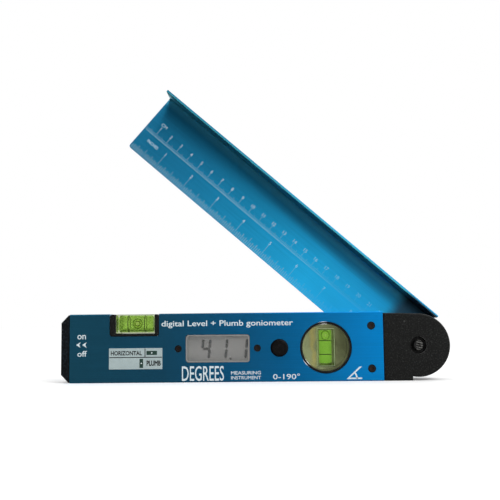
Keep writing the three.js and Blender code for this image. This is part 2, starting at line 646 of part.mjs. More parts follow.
function buildBody() {
  const body = new THREE.Group();
  add(body, 'body_extrusion', bodyExtrusion(), MATERIAL.anodised);
  add(body, 'end_cap', endCap(), MATERIAL.blackPlastic);
  add(body, 'switch_housing', switchHousing(), MATERIAL.darkPlastic);
  add(body, 'power_slider', powerSlider(), MATERIAL.blackPlastic);
  add(body, 'switch_cable', switchCable(), MATERIAL.cable);

  add(body, 'lcd_window', lcdWindow(), MATERIAL.clear);
  add(body, 'lcd_glass', lcdGlass(), MATERIAL.lcd);
  add(body, 'lcd_holder', lcdHolder(), MATERIAL.darkPlastic);
  add(body, 'zebra_strip', zebraStrip(), MATERIAL.rubber);
  add(body, 'main_board', mainBoard(), MATERIAL.circuitBoard);
  add(body, 'controller_chip', controllerChip(), MATERIAL.darkPlastic);
  add(body, 'button_switch', buttonSwitch(), MATERIAL.darkPlastic);
  add(body, 'hold_button', holdButton(), MATERIAL.blackPlastic);
  for (const [side, name] of [[-1, 'left'], [1, 'right']]) {
    const x = DISPLAY.x + side * DISPLAY.screwPitch / 2;
    add(body, `display_screw_${name}`, screw(x, MIDLINE, DISPLAY_SCREW), MATERIAL.blackSteel);
  }

  add(body, 'level_holder', levelHolder(), MATERIAL.blackPlastic);
  add(body, 'level_block', levelBlock(), MATERIAL.clear);
  add(body, 'level_liquid', levelLiquid(), MATERIAL.greenLiquid);
  add(body, 'level_plug', levelPlug(), MATERIAL.clear);
  add(body, 'vial_label', vialLabel(), MATERIAL.label);

  add(body, 'plumb_ring', plumbRing(), MATERIAL.blackPlastic);
  add(body, 'plumb_disc', plumbDisc(), MATERIAL.amberClear);
  add(body, 'plumb_block', plumbBlock(), MATERIAL.clear);
  add(body, 'plumb_liquid', plumbLiquid(), MATERIAL.greenLiquid);
  add(body, 'plumb_plug', plumbPlug(), MATERIAL.clear);

  add(body, 'battery_tray', batteryTray(), MATERIAL.darkPlastic);
  add(body, 'battery_door', batteryDoor(), MATERIAL.blackPlastic);
  for (const [side, name] of [[1, 'upper'], [-1, 'lower']]) {
    add(body, `battery_${name}`, battery(side), MATERIAL.battery);
    add(body, `battery_spring_${name}`, batterySpring(side), MATERIAL.springSteel);
  }
  const { left, right, reach } = CONTACT;
  add(body, 'battery_bridge', batteryContact(left, -reach, reach), MATERIAL.springSteel);
  add(body, 'battery_contact_upper', batteryContact(right, 2, reach), MATERIAL.springSteel);
  add(body, 'battery_contact_lower', batteryContact(right, -reach, -2), MATERIAL.springSteel);

  add(body, 'hinge_block', hingeBlock(), MATERIAL.blackPlastic);
  for (const [side, name] of [[1, 'top'], [-1, 'bottom']]) {
    const z = MIDLINE + side * HINGE_SCREW.pitch / 2;
    add(body, `hinge_screw_${name}`, screw(HINGE_SCREW.x, z, HINGE_SCREW), MATERIAL.blackSteel);
  }
  add(body, 'pivot_bolt', pivotBolt(), MATERIAL.blackSteel);
  add(body, 'pivot_nut', pivotNut(), MATERIAL.steel);
  add(body, 'friction_washer', frictionWasher(), MATERIAL.nylon);
  add(body, 'wave_washer', waveWasher(), MATERIAL.springSteel);
  add(body, 'encoder_stator', encoderStator(), MATERIAL.circuitBoard);
  add(body, 'encoder_cable', encoderCable(), MATERIAL.cable);
  return body;
}

function buildArm() {
  const arm = new THREE.Group();
  add(arm, 'arm_extrusion', armExtrusion(), MATERIAL.anodised);
  add(arm, 'arm_hub', armHub(), MATERIAL.blackPlastic);
  add(arm, 'pivot_bush', pivotBush(), MATERIAL.brass);
  add(arm, 'encoder_rotor', encoderRotor(), MATERIAL.circuitBoard);
  HUB_SCREWS.forEach((place, i) => {
    add(arm, `hub_screw_${i + 1}`, hubScrew(place), MATERIAL.blackSteel);
  });
  return arm;
}

const arm = buildArm();
arm.rotation.y = THREE.MathUtils.degToRad(OPENING_DEGREES);

const goniometer = new THREE.Group();
goniometer.add(buildBody(), arm);
goniometer.updateMatrixWorld(true);

const extent = new THREE.Box3().setFromObject(goniometer, true);
goniometer.position.set(
  -(extent.min.x + extent.max.x) / 2,
  -(extent.min.y + extent.max.y) / 2,
  -extent.min.z,
);

export default goniometer;
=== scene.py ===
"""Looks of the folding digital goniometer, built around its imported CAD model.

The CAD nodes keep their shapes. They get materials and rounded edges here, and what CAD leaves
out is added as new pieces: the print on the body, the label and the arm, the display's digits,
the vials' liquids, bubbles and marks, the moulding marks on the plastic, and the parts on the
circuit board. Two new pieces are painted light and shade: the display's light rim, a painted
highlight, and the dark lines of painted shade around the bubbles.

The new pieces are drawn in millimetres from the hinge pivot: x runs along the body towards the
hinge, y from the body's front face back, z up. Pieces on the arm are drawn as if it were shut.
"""

import json
import math

import bmesh
import bpy
from mathutils import Matrix, Vector


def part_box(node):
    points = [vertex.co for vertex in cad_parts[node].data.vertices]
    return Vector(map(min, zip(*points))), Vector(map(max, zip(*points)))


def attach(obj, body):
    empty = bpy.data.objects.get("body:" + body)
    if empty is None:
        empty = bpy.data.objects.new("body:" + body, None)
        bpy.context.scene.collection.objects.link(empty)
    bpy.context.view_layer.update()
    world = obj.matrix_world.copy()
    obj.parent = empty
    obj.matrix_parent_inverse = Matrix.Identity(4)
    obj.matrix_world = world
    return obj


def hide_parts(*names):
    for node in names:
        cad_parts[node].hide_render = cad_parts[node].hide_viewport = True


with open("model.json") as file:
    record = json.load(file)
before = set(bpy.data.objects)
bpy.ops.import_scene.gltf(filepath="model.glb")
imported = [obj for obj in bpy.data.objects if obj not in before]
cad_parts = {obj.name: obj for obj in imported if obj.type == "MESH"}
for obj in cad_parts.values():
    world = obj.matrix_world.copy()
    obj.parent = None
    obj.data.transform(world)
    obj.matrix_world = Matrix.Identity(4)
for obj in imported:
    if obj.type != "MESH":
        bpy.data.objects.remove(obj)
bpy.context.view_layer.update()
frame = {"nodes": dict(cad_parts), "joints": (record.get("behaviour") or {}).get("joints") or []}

MM = 0.001

# ---------------- the frame, in millimetres

HINGE = next(joint for joint in frame["joints"] if joint["name"] == "arm_hinge")
OPENING = math.radians(-HINGE["range_deg"][0])
PIVOT = Vector((HINGE["pos_m"][0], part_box("body_extrusion")[0].y, HINGE["pos_m"][2]))
ON_BODY = Matrix.Translation(PIVOT) @ Matrix.Scale(MM, 4)
ON_ARM = Matrix.Translation(PIVOT) @ Matrix.Rotation(OPENING, 4, "Y") @ Matrix.Scale(MM, 4)
ARM_PIVOT = Matrix.Rotation(-OPENING, 4, "Y") @ PIVOT    # the pivot, along axes that lean with the arm


def low_high(node):
    """The lowest and highest corner of a body node, in millimetres from the pivot."""
    low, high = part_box(node)
    return (low - PIVOT) / MM, (high - PIVOT) / MM


def middle(node):
    low, high = low_high(node)
    return (low + high) / 2


def shut_arm():
    """The lowest and highest corner of the arm as if it were shut, in millimetres from the pivot."""
    to_shut = ON_ARM.inverted()
    points = [to_shut @ vertex.co for vertex in frame["nodes"]["arm_extrusion"].data.vertices]
    return [Vector(pick(point[axis] for point in points) for axis in range(3)) for pick in (min, max)]


ARM_LOW, ARM_HIGH = shut_arm()
ARM_END = ARM_LOW.x          # the arm's square end
ARM_PLATE = 2.0              # the plate's thickness
ARM_FLANGE = 1.55            # the flange's thickness
ARM_FACE = ARM_HIGH.y - ARM_PLATE    # the side of the plate that faces the body
INK = 0.03                   # thickness of a printed line
SUNK = 0.01                  # how far an added piece reaches into the surface below it


def add_object(name, data):
    made = bpy.data.objects.new(name, data)
    bpy.context.scene.collection.objects.link(made)
    return made


# ---------------- camera

CAMERA_PLACE = Vector((-99.2, -550.0, 14.8))    # in front of the body, a little right of its middle
CAMERA_TURN = 1.616          # degrees to the left
CAMERA_TILT = 5.40           # degrees up, towards the arm
CAMERA_ROLL = -0.593
CAMERA_LENS = 57.19          # millimetres, on a sensor 36 mm wide


def add_camera():
    data = bpy.data.cameras.new("camera")
    data.lens = CAMERA_LENS
    data.sensor_width = 36.0
    data.clip_start = 0.01
    camera = add_object("camera", data)
    turn = Matrix.Rotation(math.radians(CAMERA_TURN), 4, "Z")
    tilt = Matrix.Rotation(math.radians(90 + CAMERA_TILT), 4, "X")
    roll = Matrix.Rotation(math.radians(CAMERA_ROLL), 4, "Z")
    camera.matrix_world = Matrix.Translation(ON_BODY @ CAMERA_PLACE) @ turn @ tilt @ roll
    bpy.context.scene.camera = camera


add_camera()


# ---------------- building materials out of nodes

def scaled(color, share):
    return tuple(channel * share for channel in color)


class Nodes:
    """Short ways to add nodes to the tree of a material or a world."""

    def __init__(self, owner):
        owner.use_nodes = True
        self.nodes = owner.node_tree.nodes
        self.links = owner.node_tree.links

    def feed(self, node, inputs):
        """Sets inputs, by name or number: each links to a socket, or takes a number, vector or colour."""
        for key, value in inputs.items():
            socket = node.inputs[key]
            if isinstance(value, bpy.types.NodeSocket):
                self.links.new(value, socket)
            elif socket.type == "RGBA":
                socket.default_value = (*value, 1.0)
            else:
                socket.default_value = value

    def node(self, kind, inputs, **settings):
        """Adds a node, with settings of its own and with what its inputs take."""
        made = self.nodes.new(kind)
        for key, value in settings.items():
            setattr(made, key, value)
        self.feed(made, inputs)
        return made

    def combine(self, operation, first, second=0.0):
        """Math on two values, each a socket or a number."""
        return self.node("ShaderNodeMath", {0: first, 1: second}, operation=operation).outputs["Value"]

    def ramp(self, factor, stops, interpolation="LINEAR"):
        """Colours along factor; stops are (position, colour), in order."""
        made = self.node("ShaderNodeValToRGB", {"Fac": factor})
        made.color_ramp.interpolation = interpolation
        elements = made.color_ramp.elements
        for position, _ in stops[1:-1]:
            elements.new(position)
        for element, (position, color) in zip(elements, stops):
            element.position = position
            element.color = (*color, 1.0)
        return made.outputs["Color"]


SOCKETS = {
    "ior": "IOR",
    "specular": "Specular IOR Level",
    "transmission": "Transmission Weight",
    "alpha": "Alpha",
    "coat": "Coat Weight",
    "coat_roughness": "Coat Roughness",
    "sheen": "Sheen Weight",
    "anisotropic": "Anisotropic",
    "grain_turn": "Anisotropic Rotation",
    "glow": "Emission Strength",
}


class Look(Nodes):
    """A node material: one Principled shader, and the nodes that vary it over the surface."""

    def __init__(self, name, color, roughness=0.5, metallic=0.0, **constants):
        self.material = bpy.data.materials.new(name)
        super().__init__(self.material)
        self.shader = self.nodes["Principled BSDF"]
        self.feed(self.shader, {"Base Color": color, "Roughness": roughness, "Metallic": metallic})
        self.feed(self.shader, {SOCKETS[key]: value for key, value in constants.items()})

    def place(self, size, turn=0.0):
        """Object coordinates, turned about Y, in units of size millimetres.

        size is one number, or one each for x, y and z.
        """
        sizes = size if isinstance(size, tuple) else (size, size, size)
        inputs = {
            "Vector": self.node("ShaderNodeTexCoord", {}).outputs["Object"],
            "Rotation": (0.0, turn, 0.0),
            "Scale": [length * MM for length in sizes],
        }
        return self.node("ShaderNodeMapping", inputs, vector_type="TEXTURE").outputs["Vector"]

    def noise(self, size, detail=2.0, turn=0.0):
        """Noise with lumps of size millimetres."""
        inputs = {"Vector": self.place(size, turn), "Scale": 1.0, "Detail": detail}
        return self.node("ShaderNodeTexNoise", inputs).outputs["Fac"]

    def cells(self, size):
        """Distance to the nearest of scattered points, size millimetres apart."""
        inputs = {"Vector": self.place(size), "Scale": 1.0}
        return self.node("ShaderNodeTexVoronoi", inputs).outputs["Distance"]

    def axis(self, name, turn=0.0):
        """One object coordinate, in metres."""
        return self.node("ShaderNodeSeparateXYZ", {"Vector": self.place(1 / MM, turn)}).outputs[name]

    def spread(self, factor, low, high, from_low=0.3, from_high=0.7, smooth=False):
        """Maps factor from its own range to low ... high."""
        inputs = {"Value": factor, "From Min": from_low, "From Max": from_high, "To Min": low, "To Max": high}
        kind = "SMOOTHSTEP" if smooth else "LINEAR"
        return self.node("ShaderNodeMapRange", inputs, interpolation_type=kind).outputs["Result"]

    def above(self, coordinate, low, high, smooth=False):
        """0 below low, and 1 above high."""
        return self.spread(coordinate, 0.0, 1.0, low, high, smooth)

    def band(self, coordinate, low, high, soft):
        """1 where a coordinate lies between low and high, with soft ends."""
        above_low = self.above(coordinate, low - soft, low + soft)
        above_high = self.above(coordinate, high - soft, high + soft)
        return self.combine("SUBTRACT", above_low, above_high)

    def both(self, first, second):
        return self.combine("MULTIPLY", first, second)

    def distance(self, coordinate, value):
        return self.combine("ABSOLUTE", self.combine("SUBTRACT", coordinate, value))

    def blend(self, factor, first, second):
        """A colour between first and second, each a colour or a socket."""
        inputs = {"Factor": factor, 6: first, 7: second}
        return self.node("ShaderNodeMix", inputs, data_type="RGBA").outputs[2]

    def mottle(self, noise, first, second):
        """Two colours that run into each other in the pattern of a noise."""
        return self.blend(self.spread(noise, 0.0, 1.0), first, second)

    def paint(self, color):
        self.feed(self.shader, {"Base Color": color})

    def polish(self, factor, low, high):
        """Roughness that follows factor."""
        self.feed(self.shader, {"Roughness": self.spread(factor, low, high)})

    def emboss(self, height, depth, strength=0.5):
        """Raises the surface by up to depth millimetres."""
        bump = self.node("ShaderNodeBump", {"Height": height, "Strength": strength, "Distance": depth * MM})
        self.feed(self.shader, {"Normal": bump.outputs["Normal"]})

    def finish(self, color, polish=None, emboss=None):
        """Sets the colour, and polish and emboss from the values they take; returns the material."""
        self.paint(color)
        if polish:
            self.polish(*polish)
        if emboss:
            self.emboss(*emboss)
        return self.material


# ---------------- metals

# Blue dye with painted light and shade: colour stops along the body, from the end cap to the hinge.
BODY_DYE_AND_LIGHT = (
    (0.0, (0.070, 0.420, 0.690)),
    (0.3, (0.050, 0.320, 0.585)),
    (0.5, (0.024, 0.300, 0.660)),
    (0.7, (0.009, 0.258, 0.630)),
    (1.0, (0.003, 0.264, 0.690)),
)
# Blue dye with painted light and shade: darker at the arm's end and brighter towards the hinge.
ARM_DYE_AND_LIGHT = (
    (0.0, (0.022, 0.300, 0.565)),
    (0.2, (0.023, 0.335, 0.635)),
    (0.4, (0.022, 0.410, 0.760)),
    (0.65, (0.024, 0.520, 0.960)),
    (0.8, (0.022, 0.460, 0.870)),
    (1.0, (0.022, 0.460, 0.870)),
)


def anodised(name, turn, span, dye_and_light_stops, rough):
    """Brushed blue aluminium: the grain runs along x, turned about Y.

    The colour stops, (share of span, colour), give the blue dye with painted light and shade that change
    along the piece.
    Returns the look and the socket of its colour.
    """
    across = (math.pi / 2 - turn) / math.tau
    look = Look(name, dye_and_light_stops[-1][1], rough, 0.97, anisotropic=0.9, grain_turn=across)
    along = look.above(look.axis("X", turn), *span)
    streaks = look.noise((60, 0.35, 0.35), 3.0, turn)
    hairs = look.noise((18, 0.09, 0.09), 2.0, turn)
    clouds = look.noise((45, 18, 18), 2.0, turn)
    grain = look.combine("ADD", look.combine("MULTIPLY", streaks, 0.7), look.combine("MULTIPLY", clouds, 0.3))
    # Painted light and shade along the piece, mottled by the grain.
    shaded = look.ramp(along, [(share, scaled(dye_and_light, 0.8)) for share, dye_and_light in dye_and_light_stops])
    dyed_and_lit = look.mottle(grain, shaded, look.ramp(along, dye_and_light_stops))
    look.finish(dyed_and_lit, (hairs, rough - 0.05, rough + 0.06), (look.combine("ADD", streaks, hairs), 0.012))
    return look, dyed_and_lit


def body_blue():
    low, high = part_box("body_extrusion")
    return anodised("blue_body", 0.0, (low.x, high.x), BODY_DYE_AND_LIGHT, 0.33)[0].material


def arm_blue():
    """The body's blue, with painted light and shade on the inner side of the L along its flange."""
    span = (ARM_PIVOT.x + ARM_END * MM, ARM_PIVOT.x)
    look, dye_and_light = anodised("blue_arm", OPENING, span, ARM_DYE_AND_LIGHT, 0.40)
    along = look.axis("X", OPENING)
    height = look.axis("Z", OPENING)
    root = ARM_PIVOT.z + (ARM_HIGH.z - ARM_FLANGE) * MM
    face = PIVOT.y + ARM_FACE * MM
    in_front = look.spread(look.axis("Y"), 1.0, 0.0, face + 0.5 * MM, face + MM)
    inside = look.both(in_front, look.spread(height, 1.0, 0.0, root + 0.7 * MM, root + MM))
    # Painted shadow of the flange: a band beside it, fading out towards the arm's end.
    shadow = look.band(height, root - 11 * MM, root - 3 * MM, 2.5 * MM)
    from_end = look.above(along, ARM_PIVOT.x - 225 * MM, ARM_PIVOT.x - 140 * MM)
    highlight_beside_flange = look.above(height, root - 6 * MM, root - MM)
    shade_on_flange = look.above(height, root - 0.4 * MM, root - 0.2 * MM)
    hub_reflection = look.above(along, ARM_PIVOT.x - 32 * MM, ARM_PIVOT.x - 21 * MM, smooth=True)
    # Tones, in order: a painted shadow band, a painted highlight beside the flange, painted shade on the
    # flange's inner wall, and a painted reflection of the black hinge block near the hub.
    for share, tone in (
        (look.both(shadow, from_end), (0.020, 0.280, 0.530)),
        (highlight_beside_flange, (0.10, 0.66, 1.0)),
        (shade_on_flange, (0.07, 0.44, 0.56)),
        (hub_reflection, (0.03, 0.09, 0.15)),
    ):
        dye_and_light = look.blend(look.both(share, inside), dye_and_light, tone)
    return look.finish(dye_and_light)


def cut_edge(name, color):
    """Where the anodising is thin along a machined edge."""
    look = Look(name, color, 0.3, 0.9)
    wear = look.noise(6, 3.0)
    return look.finish(look.mottle(wear, scaled(color, 0.7), color), (wear, 0.22, 0.38))


def metal(name, color, low, high):
    """Machined or rolled metal with fine tool marks; low and high limit its roughness."""
    look = Look(name, color, low, 1.0)
    marks = look.noise((0.6, 3.6, 0.6), 3.0)
    return look.finish(look.mottle(marks, scaled(color, 0.75), color), (marks, low, high), (marks, 0.01))


def black_steel(look, marks, head, rust_or_glints, rust_or_glint_area):
    """Paints a screw in two pairs of colours: one for its head, and one for where a socket screw has rust and
    the pivot bolt has painted glints.
    """
    color = look.blend(rust_or_glint_area, look.blend(marks, *head), look.blend(marks, *rust_or_glints))
    return look.finish(color, (marks, 0.3, 0.5), (marks, 0.02))


SOCKET_DEPTH = 0.6           # from a screw's head to the floor of its socket
RUST = ((0.006, 0.004, 0.003), (0.045, 0.017, 0.010))


def socket_steel(name, node):
    """Black steel of a socket screw, with a little rust on the socket's floor."""
    look = Look(name, (0.012, 0.010, 0.010), 0.4, 0.6)
    marks = look.spread(look.noise(0.5, 3.0), 0.0, 1.0)
    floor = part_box(node)[0].y + SOCKET_DEPTH * MM
    in_socket = look.band(look.axis("Y"), floor, floor + 2 * MM, 0.15 * MM)
    return black_steel(look, marks, ((0.006, 0.006, 0.006), (0.020, 0.018, 0.018)), RUST, in_socket)


GLINT_STRIPE_PITCH = 1.6            # from one stripe of painted glints to the next on the pivot bolt's head
GLINT_STRIPE_SLANT = 14             # degrees that the stripes of painted glints slope


def bolt_steel():
    """Black steel of the pivot bolt, with painted glints in light stripes across its middle."""
    look = Look("bolt_steel", (0.012, 0.011, 0.011), 0.4, 0.6)
    marks = look.spread(look.noise(0.5, 3.0), 0.0, 1.0)
    low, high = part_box("pivot_bolt")
    centre = (low.x + high.x) / 2
    # Painted glints: light slanted stripes across the middle of the head.
    rust_or_glints = look.band(look.axis("X"), centre - 1.2 * MM, centre + 3.0 * MM, 0.5 * MM)
    count = look.combine("DIVIDE", look.axis("Z", math.radians(GLINT_STRIPE_SLANT)), GLINT_STRIPE_PITCH * MM)
    glint_stripe = look.above(look.combine("FRACT", count), 0.35, 0.65)
    dark = ((0.004, 0.004, 0.004), (0.012, 0.012, 0.012))
    light = ((0.090, 0.090, 0.084), (0.160, 0.158, 0.150))
    return black_steel(look, marks, dark, light, look.both(glint_stripe, rust_or_glints))


ANODISED_BODY = body_blue()
ANODISED_ARM = arm_blue()
CUT_EDGE = cut_edge("blue_edge", (0.12, 0.56, 0.80))
ARM_EDGE = cut_edge("arm_edge", (0.10, 0.24, 0.31))
BLACK_STEEL = metal("black_steel", (0.026, 0.022, 0.021), 0.3, 0.5)
DISPLAY_STEEL = socket_steel("display_screw_steel", "display_screw_left")
HINGE_STEEL = socket_steel("hinge_screw_steel", "hinge_screw_top")
BOLT_STEEL = bolt_steel()
PLATED_STEEL = metal("plated_steel", (0.62, 0.63, 0.64), 0.2, 0.35)
SPRING_STEEL = metal("spring_steel", (0.55, 0.56, 0.57), 0.25, 0.4)
BRASS = metal("brass", (0.72, 0.50, 0.18), 0.22, 0.36)


# ---------------- plastics and liquids

def moulded(name, color, grain, depth, rough, specular=0.5, sheen=0.0):
    """Grained plastic with light flecks where the glass filling reaches the surface."""
    look = Look(name, color, rough, specular=specular, sheen=sheen)
    pebbles = look.cells(grain)
    flow = look.noise(9, 4.0)
    sparks = look.noise(0.9, 3.0)
    flecked = look.blend(look.above(sparks, 0.52, 0.74), color, scaled(color, 8.0))
    relief = look.combine("ADD", pebbles, sparks)
    return look.finish(flecked, (flow, rough - 0.08, rough + 0.1), (relief, depth, 1.0))


def acrylic(name):
    """Cast acrylic with faint streaks; returns the look and the socket of its colour."""
    color = (0.80, 0.88, 0.66)
    look = Look(name, color, 0.02, transmission=1.0, ior=1.16)
    ripple = look.noise(7)
    streaked = look.mottle(ripple, scaled(color, 0.97), color)
    look.finish(streaked, (ripple, 0.02, 0.05))
    return look, streaked


def level_acrylic():
    """The level's block: sawn around its edges, and polished over the window in its middle."""
    look, streaked = acrylic("level_acrylic")
    low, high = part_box("level_block")
    wide = look.band(look.axis("X"), low.x + 1.9 * MM, high.x - 0.7 * MM, 0.2 * MM)
    tall = look.band(look.axis("Z"), low.z + 1.8 * MM, high.z - 0.3 * MM, 0.2 * MM)
    return look.finish(look.blend(look.both(wide, tall), (0.42, 0.48, 0.30), streaked))


def amber():
    """Yellow-brown acrylic with painted light: lighter at the left and darker towards the hinge, and a
    painted streak of light left of the vial.
    """
    look = Look("amber_acrylic", (0.2, 0.2, 0.1), 0.12, transmission=1.0, ior=1.3)
    low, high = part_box("plumb_disc")
    across = look.above(look.axis("X"), low.x, high.x)
    swirl = look.noise((5, 9, 5), 3.0)
    tone = look.combine("ADD", across, look.spread(swirl, -0.25, 0.25))
    # Painted light and shade across the disc, mottled by the swirl.
    tint_and_shade = look.blend(tone, (0.225, 0.255, 0.127), (0.048, 0.055, 0.021))
    # A painted streak of light, bent by the swirl.
    bent = look.combine("ADD", across, look.spread(swirl, -0.05, 0.05))
    streak = look.spread(look.distance(bent, 0.24), 0.8, 0.0, 0.0, 0.07)
    return look.finish(look.blend(streak, tint_and_shade, (0.300, 0.260, 0.070)), (swirl, 0.08, 0.22))


def liquid(name, glow, dark, light):
    """Green liquid with a painted glow of that strength, for the light that shines through it from behind."""
    look = Look(name, light, 0.02, transmission=0.8, ior=1.08, glow=glow)
    look.feed(look.shader, {"Emission Color": (0.32, 0.60, 0.10)})
    return look.finish(look.mottle(look.noise(6), dark, light))


def air():
    """A bubble's wall, seen from inside the liquid: clear in the middle, with painted shade around its rim.
    """
    look = Look("bubble_air", (0.93, 1.0, 0.75), 0.0, transmission=0.85, ior=1.05)
    rim = look.node("ShaderNodeLayerWeight", {"Blend": 0.35})
    centre = look.mottle(look.noise(4, 1.0), (0.84, 0.86, 0.48), (0.98, 0.98, 0.62))
    return look.finish(look.mottle(rim.outputs["Facing"], centre, (0.10, 0.18, 0.01)))


def pane():
    """The display's thin window: nearly all of the light passes straight through."""
    look = Look("clear_plastic", (0.5, 0.5, 0.5), 0.08, alpha=0.08, ior=1.49)
    haze = look.noise((8, 8, 3), 3.0)
    return look.finish(look.mottle(haze, (0.42, 0.44, 0.42), (0.56, 0.56, 0.54)), (haze, 0.05, 0.16))


READING_AREA = (18.6, 7.9)   # half of the width and height that the digits change in


def liquid_crystal():
    """Grey display glass with a lighter border around its reading area."""
    look = Look("lcd", (0.16, 0.155, 0.145), 0.35, specular=0.3)
    low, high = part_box("lcd_window")
    edges = []
    for name, at, half in zip("XZ", ((low.x + high.x) / 2, (low.z + high.z) / 2), READING_AREA):
        away = look.distance(look.axis(name), at)
        edges.append(look.above(away, (half - 0.35) * MM, (half + 0.35) * MM))
    border = look.combine("MAXIMUM", *edges)
    patches = look.noise((3.5, 3.5, 2.0), 4.0)
    inside = look.mottle(patches, (0.160, 0.156, 0.149), (0.202, 0.196, 0.188))
    return look.finish(look.blend(border, inside, (0.20, 0.195, 0.18)), (patches, 0.3, 0.45))


def stripes(name, first, second, axis, pitch, rough):
    """Two colours by turns along an axis, such as a zebra strip or a ribbon cable."""
    look = Look(name, first, rough)
    turn = look.combine("FRACT", look.combine("DIVIDE", look.axis(axis), pitch * MM))
    color = look.blend(look.above(turn, 0.45, 0.55), first, second)
    return look.finish(color, (look.noise(2), rough - 0.1, rough + 0.1), (turn, 0.05))


def circuit_board():
    """Green solder mask over tracks that run in blocks along and across."""
    look = Look("circuit_board", (0.01, 0.10, 0.035), 0.35, coat=0.3, coat_roughness=0.2)
    inputs = {"Vector": look.place(2), "Rotation": (math.pi / 2, 0.0, 0.0)}
    upright = look.node("ShaderNodeMapping", inputs, vector_type="POINT").outputs["Vector"]
    sizes = {"Scale": 1.0, "Mortar Size": 0.16, "Brick Width": 3.1, "Row Height": 0.8}
    tracks = look.node("ShaderNodeTexBrick", {"Vector": upright, **sizes}).outputs["Fac"]
    color = look.blend(tracks, (0.008, 0.075, 0.028), (0.03, 0.19, 0.07))
    return look.finish(color, (look.noise(4), 0.25, 0.4), (tracks, 0.04, 1.0))


def battery_sleeve():
    """A printed sleeve: dark along most of the cell, copper coloured near its plus end."""
    look = Look("battery", (0.03, 0.03, 0.035), 0.35, 0.4)
    low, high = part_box("battery_upper")
    share = look.above(look.axis("X"), low.x, high.x)
    copper = look.above(share, 0.70, 0.72)
    tip = look.above(share, 0.955, 0.965)
    patches = look.noise((14, 4, 4), 3.0)
    dark = look.mottle(patches, (0.02, 0.022, 0.03), (0.045, 0.05, 0.06))
    color = look.blend(tip, look.blend(copper, dark, (0.55, 0.26, 0.09)), (0.55, 0.55, 0.54))
    return look.finish(color, (patches, 0.25, 0.4))


def film(name, color, shade, size, rough):
    """Printed film or ink with a slightly uneven coat."""
    look = Look(name, color, rough, specular=0.3)
    patches = look.noise(size, 4.0)
    color = look.mottle(patches, scaled(color, shade), color)
    return look.finish(color, (patches, rough - 0.08, rough + 0.08), (patches, 0.004, 0.4))


def ruler_ink(name, fresh, rubbed):
    """The arm's ink, rubbed thin over the blue towards the hinge."""
    look = Look(name, fresh, 0.5, specular=0.3)
    along = look.axis("X", OPENING)
    wear = look.above(along, ARM_PIVOT.x - 150 * MM, ARM_PIVOT.x - 45 * MM, smooth=True)
    patches = look.noise(0.8, 4.0)
    color = look.blend(wear, look.mottle(patches, scaled(fresh, 0.8), fresh), rubbed)
    return look.finish(color, (patches, 0.42, 0.58))


BLACK_PLASTIC = moulded("black_plastic", (0.0030, 0.0032, 0.0030), 0.8, 0.09, 0.5, 0.12, 0.12)
CAP_PLASTIC = moulded("cap_plastic", (0.0014, 0.0022, 0.0032), 0.8, 0.09, 0.5, 0.10, 0.08)
SATIN_BLACK = moulded("button_plastic", (0.0016, 0.0014, 0.0016), 0.35, 0.02, 0.4, 0.12)
INNER_PLASTIC = moulded("inner_plastic", (0.010, 0.010, 0.011), 0.8, 0.02, 0.45, 0.4)
CHIP = moulded("chip_resin", (0.014, 0.014, 0.015), 0.3, 0.01, 0.5, 0.4)
NYLON = film("nylon", (0.75, 0.73, 0.66), 0.85, 1.5, 0.5)
ARROW_PLASTIC = film("arrow_plastic", (0.050, 0.051, 0.050), 0.8, 0.8, 0.5)
GATE_PLASTIC = film("gate_plastic", (0.026, 0.027, 0.025), 0.6, 0.5, 0.5)
ACRYLIC = acrylic("clear_acrylic")[0].material
LEVEL_ACRYLIC = level_acrylic()
# Painted highlight along the rounded edges of the clear blocks.
ACRYLIC_EDGE_HIGHLIGHT = film("acrylic_edge", (0.50, 0.60, 0.36), 0.8, 2.0, 0.2)
AMBER = amber()
# The second number is the strength of each liquid's painted glow.
LEVEL_LIQUID = liquid("level_liquid", 0.06, (0.33, 0.48, 0.11), (0.41, 0.57, 0.16))
PLUMB_LIQUID = liquid("plumb_liquid", 0.30, (0.28, 0.50, 0.07), (0.36, 0.58, 0.10))
AIR = air()
PANE = pane()
LCD = liquid_crystal()
ZEBRA = stripes("zebra_rubber", (0.05, 0.05, 0.055), (0.42, 0.40, 0.38), "X", 0.5, 0.7)
CABLE = stripes("cable", (0.42, 0.44, 0.46), (0.25, 0.27, 0.29), "Z", 0.8, 0.5)
BOARD = circuit_board()
BATTERY = battery_sleeve()
LABEL = film("label", (0.33, 0.40, 0.40), 0.9, 5.0, 0.5)
WHITE_INK = film("white_ink", (0.62, 0.70, 0.72), 0.8, 0.8, 0.5)
RULER_INK = ruler_ink("ruler_ink", (0.38, 0.62, 0.72), (0.06, 0.46, 0.80))
NUMBER_INK = ruler_ink("number_ink", (0.46, 0.68, 0.77), (0.16, 0.56, 0.84))
BLACK_INK = film("black_ink", (0.012, 0.014, 0.014), 0.7, 0.8, 0.45)
GREEN_INK = film("green_ink", (0.016, 0.050, 0.036), 0.7, 0.8, 0.45)
SEGMENT_INK = film("segments", (0.004, 0.004, 0.004), 0.75, 1.5, 0.4)
# Painted shade: the dark lines around the bubbles.
OUTLINE = film("bubble_outline", (0.05, 0.11, 0.01), 0.8, 1.5, 0.3)
# Painted highlight: the display's light rim.
RIM = film("display_rim", (0.24, 0.235, 0.225), 0.85, 2.0, 0.3)


# ---------------- CAD nodes: material and edges

